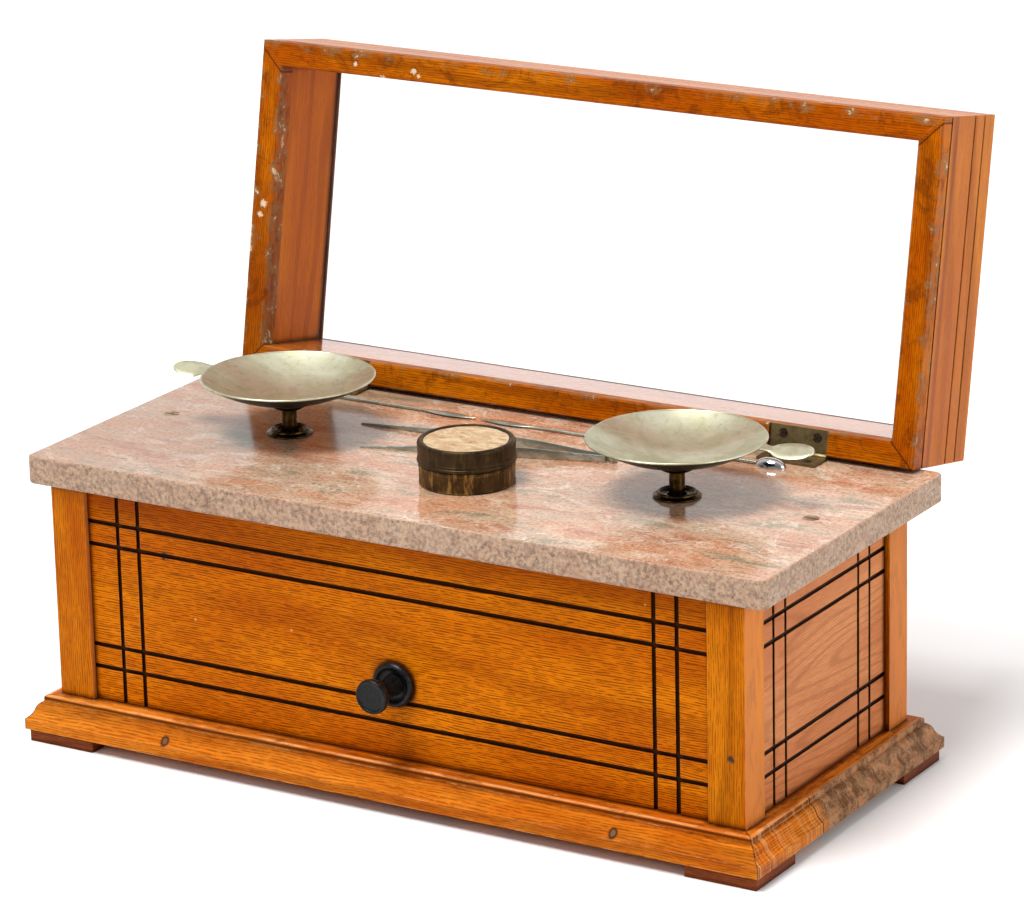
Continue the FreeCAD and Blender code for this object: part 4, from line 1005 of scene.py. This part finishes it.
def make_spatula(side, steel, plated):
    """Round stem with a leaf blade at one end and an inverted oval bowl at the other."""
    node = "spatula_" + side
    low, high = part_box(node)
    way = 1 if side == "left" else -1
    outer, inner = (low.x, high.x) if way > 0 else (high.x, low.x)
    y = (low.y + high.y) / 2
    half, dome_r = 8.0, 4.8
    stem_z = TOP / MM + 1.05
    length = abs(inner - outer) / MM
    stations = [(2 * half - 2.4, 0.75, 0.75), (2 * half + 4, 0.95, 0.85), (length - 46, 0.85, 0.8),
                (length - 37, 0.95, 0.7)]
    for step in range(15):
        share = step / 14
        stations.append((length - 33 + 33 * share, leaf_half_width(share), 0.62 - 0.3 * share))
    rings = []
    for along, half_width, half_thick in stations:
        ring = []
        for spoke in range(12):
            angle = TAU * spoke / 12
            ring.append(Vector((outer + way * along * MM, y + half_width * math.cos(angle) * MM,
                                (stem_z + half_thick * math.sin(angle)) * MM)))
        rings.append(ring)
    stem = piece_from("spatula_stem_" + side, *loft(rings), sharp=60)
    finished(stem, side + "_spatula", "steel", steel, node)

    bowl_centre = Vector((outer + way * half * MM, y, 0))
    floor = TOP / MM + 0.1

    def as_bowl(point):
        flat = point - Vector((bowl_centre.x, bowl_centre.y, 0))
        share = flat.x / (half * MM)
        pinch = 1 - 0.12 * abs(share)
        return Vector((point.x, bowl_centre.y + flat.y * dome_r / half * pinch, point.z))

    steps = 16
    angles = [step / steps * math.pi / 2 for step in range(steps + 1)]
    rise = dome_r * 0.96
    dome = [(half * math.sin(angle), floor + rise * math.cos(angle)) for angle in angles]
    hollow = [((half - 0.8) * math.sin(angle), floor + (rise - 0.7) * math.cos(angle))
              for angle in reversed(angles)]
    bowl = turned("spatula_bowl_" + side, dome + hollow, bowl_centre, warp=as_bowl, segments=72)
    finished(bowl, side + "_spatula", "steel", plated, node)


# ---- springs inside ----
def make_springs(steel):
    """Real coils in place of the CAD sleeves."""
    low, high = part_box("arrest_springs")
    coil_r, wire_r, turns, inset = 2.35 * MM, 0.33 * MM, 6.5, 2.7 * MM
    ends = ((low.x + inset, low.y + inset), (high.x - inset, high.y - inset))
    for index, (x, y) in enumerate(ends):
        rings = []
        steps = int(turns * 20)
        for step in range(steps + 1):
            angle = TAU * turns * step / steps
            z = low.z + wire_r + (high.z - low.z - 2 * wire_r) * step / steps
            out = Vector((math.cos(angle), math.sin(angle), 0))
            core = Vector((x, y, z)) + out * coil_r
            rings.append([core + wire_r * (out * math.cos(TAU * k / 8)
                                           + Vector((0, 0, math.sin(TAU * k / 8))))
                          for k in range(8)])
        spring = piece_from(f"return_spring_{index + 1}", *loft(rings), sharp=60)
        finished(spring, "case", "steel", steel, "arrest_springs")
        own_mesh(spring)


# ---- stage, light and camera ----
FLOOR_HALF = 6.0
FLOOR_COLOUR = (0.9, 0.9, 0.9, 1)     # linear
SKY = (("From Min", -0.45), ("From Max", 0.3), ("To Min", 0.24), ("To Max", 0.85))
SUN_ENERGY, SUN_ANGLE, SUN_WAY = 2.9, math.radians(26), (0.16, 0.36, -1.0)
LIGHT_AIM = (0.0, 0.0, 0.12)
CAMERA_LENS, CAMERA_SENSOR = 167.63, 36.0
CAMERA_PLACE, CAMERA_TURN = (1.1342, -1.8464, 0.8228), (72.446, 1.254, 31.178)


def make_stage():
    """White floor, and a sky that is brighter behind the object than in front of it."""
    half = FLOOR_HALF
    floor = bpy.data.meshes.new("floor")
    floor.from_pydata([(-half, -half, 0), (half, -half, 0), (half, half, 0), (-half, half, 0)], [],
                      [(0, 1, 2, 3)])
    piece = placed("floor", floor)
    mat = Shader("paper_floor", Base_Color=FLOOR_COLOUR, Roughness=0.9, Specular_IOR_Level=0.1)
    use(piece, mat.material)

    world = bpy.data.worlds.new("studio")
    bpy.context.scene.world = world
    world.use_nodes = True
    tree = world.node_tree
    way = tree.nodes.new("ShaderNodeTexCoord").outputs["Generated"]
    split = tree.nodes.new("ShaderNodeSeparateXYZ")
    ramp = tree.nodes.new("ShaderNodeMapRange")
    ramp.interpolation_type = "SMOOTHSTEP"
    for key, value in SKY:
        ramp.inputs[key].default_value = value
    direct = tree.nodes.new("ShaderNodeLightPath")
    shown = tree.nodes.new("ShaderNodeMath")
    shown.operation = "MAXIMUM"
    tree.links.new(way, split.inputs[0])
    tree.links.new(split.outputs["Y"], ramp.inputs["Value"])
    tree.links.new(ramp.outputs["Result"], shown.inputs[0])
    tree.links.new(direct.outputs["Is Camera Ray"], shown.inputs[1])
    tree.links.new(shown.outputs[0], tree.nodes["Background"].inputs["Strength"])
    tree.nodes["Background"].inputs["Color"].default_value = (1, 1, 1, 1)


def area_light(name, place, target, size, power):
    """Rectangular lamp at place that points at target."""
    data = bpy.data.lights.new(name, "AREA")
    data.shape = "RECTANGLE"
    data.size, data.size_y = size
    data.energy = power
    lamp = placed(name, data)
    lamp.location = place
    aim = Vector(target) - Vector(place)
    lamp.rotation_euler = aim.to_track_quat("-Z", "Y").to_euler()


def make_lights():
    sun = bpy.data.lights.new("key", "SUN")
    sun.energy = SUN_ENERGY
    sun.angle = SUN_ANGLE
    lamp = placed("key", sun)
    lamp.rotation_euler = Vector(SUN_WAY).to_track_quat("-Z", "Y").to_euler()
    area_light("front", (-0.4, -1.5, 0.9), LIGHT_AIM, (1.0, 0.6), 4)
    area_light("side", (1.6, -0.2, 0.7), LIGHT_AIM, (0.8, 0.8), 5)


def make_camera():
    data = bpy.data.cameras.new("camera")
    data.lens = CAMERA_LENS
    data.sensor_width = CAMERA_SENSOR
    data.clip_end = 50
    camera = placed("camera", data)
    camera.location = CAMERA_PLACE
    camera.rotation_euler = [math.radians(angle) for angle in CAMERA_TURN]
    bpy.context.scene.camera = camera
    bpy.context.scene.view_settings.view_transform = "Standard"


# ---- all together ----
make_camera()
make_stage()
make_lights()
dress_wood()

METALS = {                            # bright, dull, dark, roughness, patch scale, the rest
    "aged_brass": ((92, 70, 34), (44, 34, 20), (16, 13, 10), (0.2, 0.4), 190),
    "dark_brass": ((72, 60, 40), (44, 37, 28), (20, 17, 14), (0.3, 0.5), 150),
    "hinge_brass": ((150, 132, 92), (116, 100, 70), (66, 56, 42), (0.42, 0.6), 120),
    "beam_brass": ((206, 170, 96), (176, 140, 74), (104, 78, 40), (0.28, 0.45), 60),
    "screw_metal": ((210, 180, 146), (156, 126, 96), (84, 62, 46), (0.35, 0.55), 300),
    "leaf_screw_metal": ((96, 80, 62), (64, 54, 44), (34, 28, 24), (0.35, 0.55), 300),
    "black_iron": ((58, 56, 56), (38, 37, 38), (88, 52, 34), (0.45, 0.65), 80, (1, 1, 1), 0.3),
    "tool_steel": ((186, 190, 178), (142, 146, 134), (84, 82, 70), (0.22, 0.4), 90, (1, 3, 3),
                   0.35, 0.75),
    "plated_steel": ((236, 238, 240), (214, 216, 218), (150, 146, 140), (0.05, 0.12), 120,
                     (1, 1, 1), 0.15),
    "plain_steel": ((176, 178, 180), (146, 148, 150), (96, 92, 88), (0.22, 0.36), 200),
}
metals = {name: metal(name, *look) for name, look in METALS.items()}
ebony = ebony_material()
paper = paper_material()
lid_paint = tin_material("japanned_lid", ((34, 26, 18), (52, 40, 28)), (150, 122, 76), 0.5, 0.1)
base_paint = tin_material("japanned_base", ((44, 32, 20), (78, 56, 28)), (164, 126, 68), 0.9, 0.75)
OTHER_MATERIALS = {
    "marble_top": marble_material(), "lid_glass": glass_material(),
    "fulcrum_bearings": agate_material(), "arrest_pads": leather_material(),
}
METAL_NODES = {
    "screw_metal": ("marble_screws",),
    "leaf_screw_metal": ("marble_leaf_screws", "lid_leaf_screws"),
    "hinge_brass": ("lid_hinge_leaves", "marble_hinge_leaves", "hinge_pins"),
    "aged_brass": ("column_left", "column_right"),
    "beam_brass": ("tin_weights", "beam", "stay_link", "gravity_bob"),
    "black_iron": ("balance_frame", "arrest_bar"),
    "plain_steel": ("frame_screws", "fulcrum_knife", "stay_pivot", "beam_end_pins", "stay_pins",
                    "arrest_shaft", "arrest_cam", "arrest_guides"),
}
for node_name, node_material in OTHER_MATERIALS.items():
    use(NODES[node_name], node_material)
for metal_name, node_names in METAL_NODES.items():
    for node_name in node_names:
        use(NODES[node_name], metals[metal_name])
for node_name in ("beam", "stay_link", "balance_frame", "arrest_bar", "lid_hinge_leaves",
                  "marble_hinge_leaves"):
    soften(NODES[node_name], 0.2 * MM)

make_pans(pan_material())
make_supports(metals["aged_brass"], metals["dark_brass"])
make_knob(ebony)
make_tin(lid_paint, base_paint, paper)
make_tweezers(metals["tool_steel"])
for spatula_side in SIDES:
    make_spatula(spatula_side, metals["tool_steel"], metals["plated_steel"])
make_springs(metals["plain_steel"])
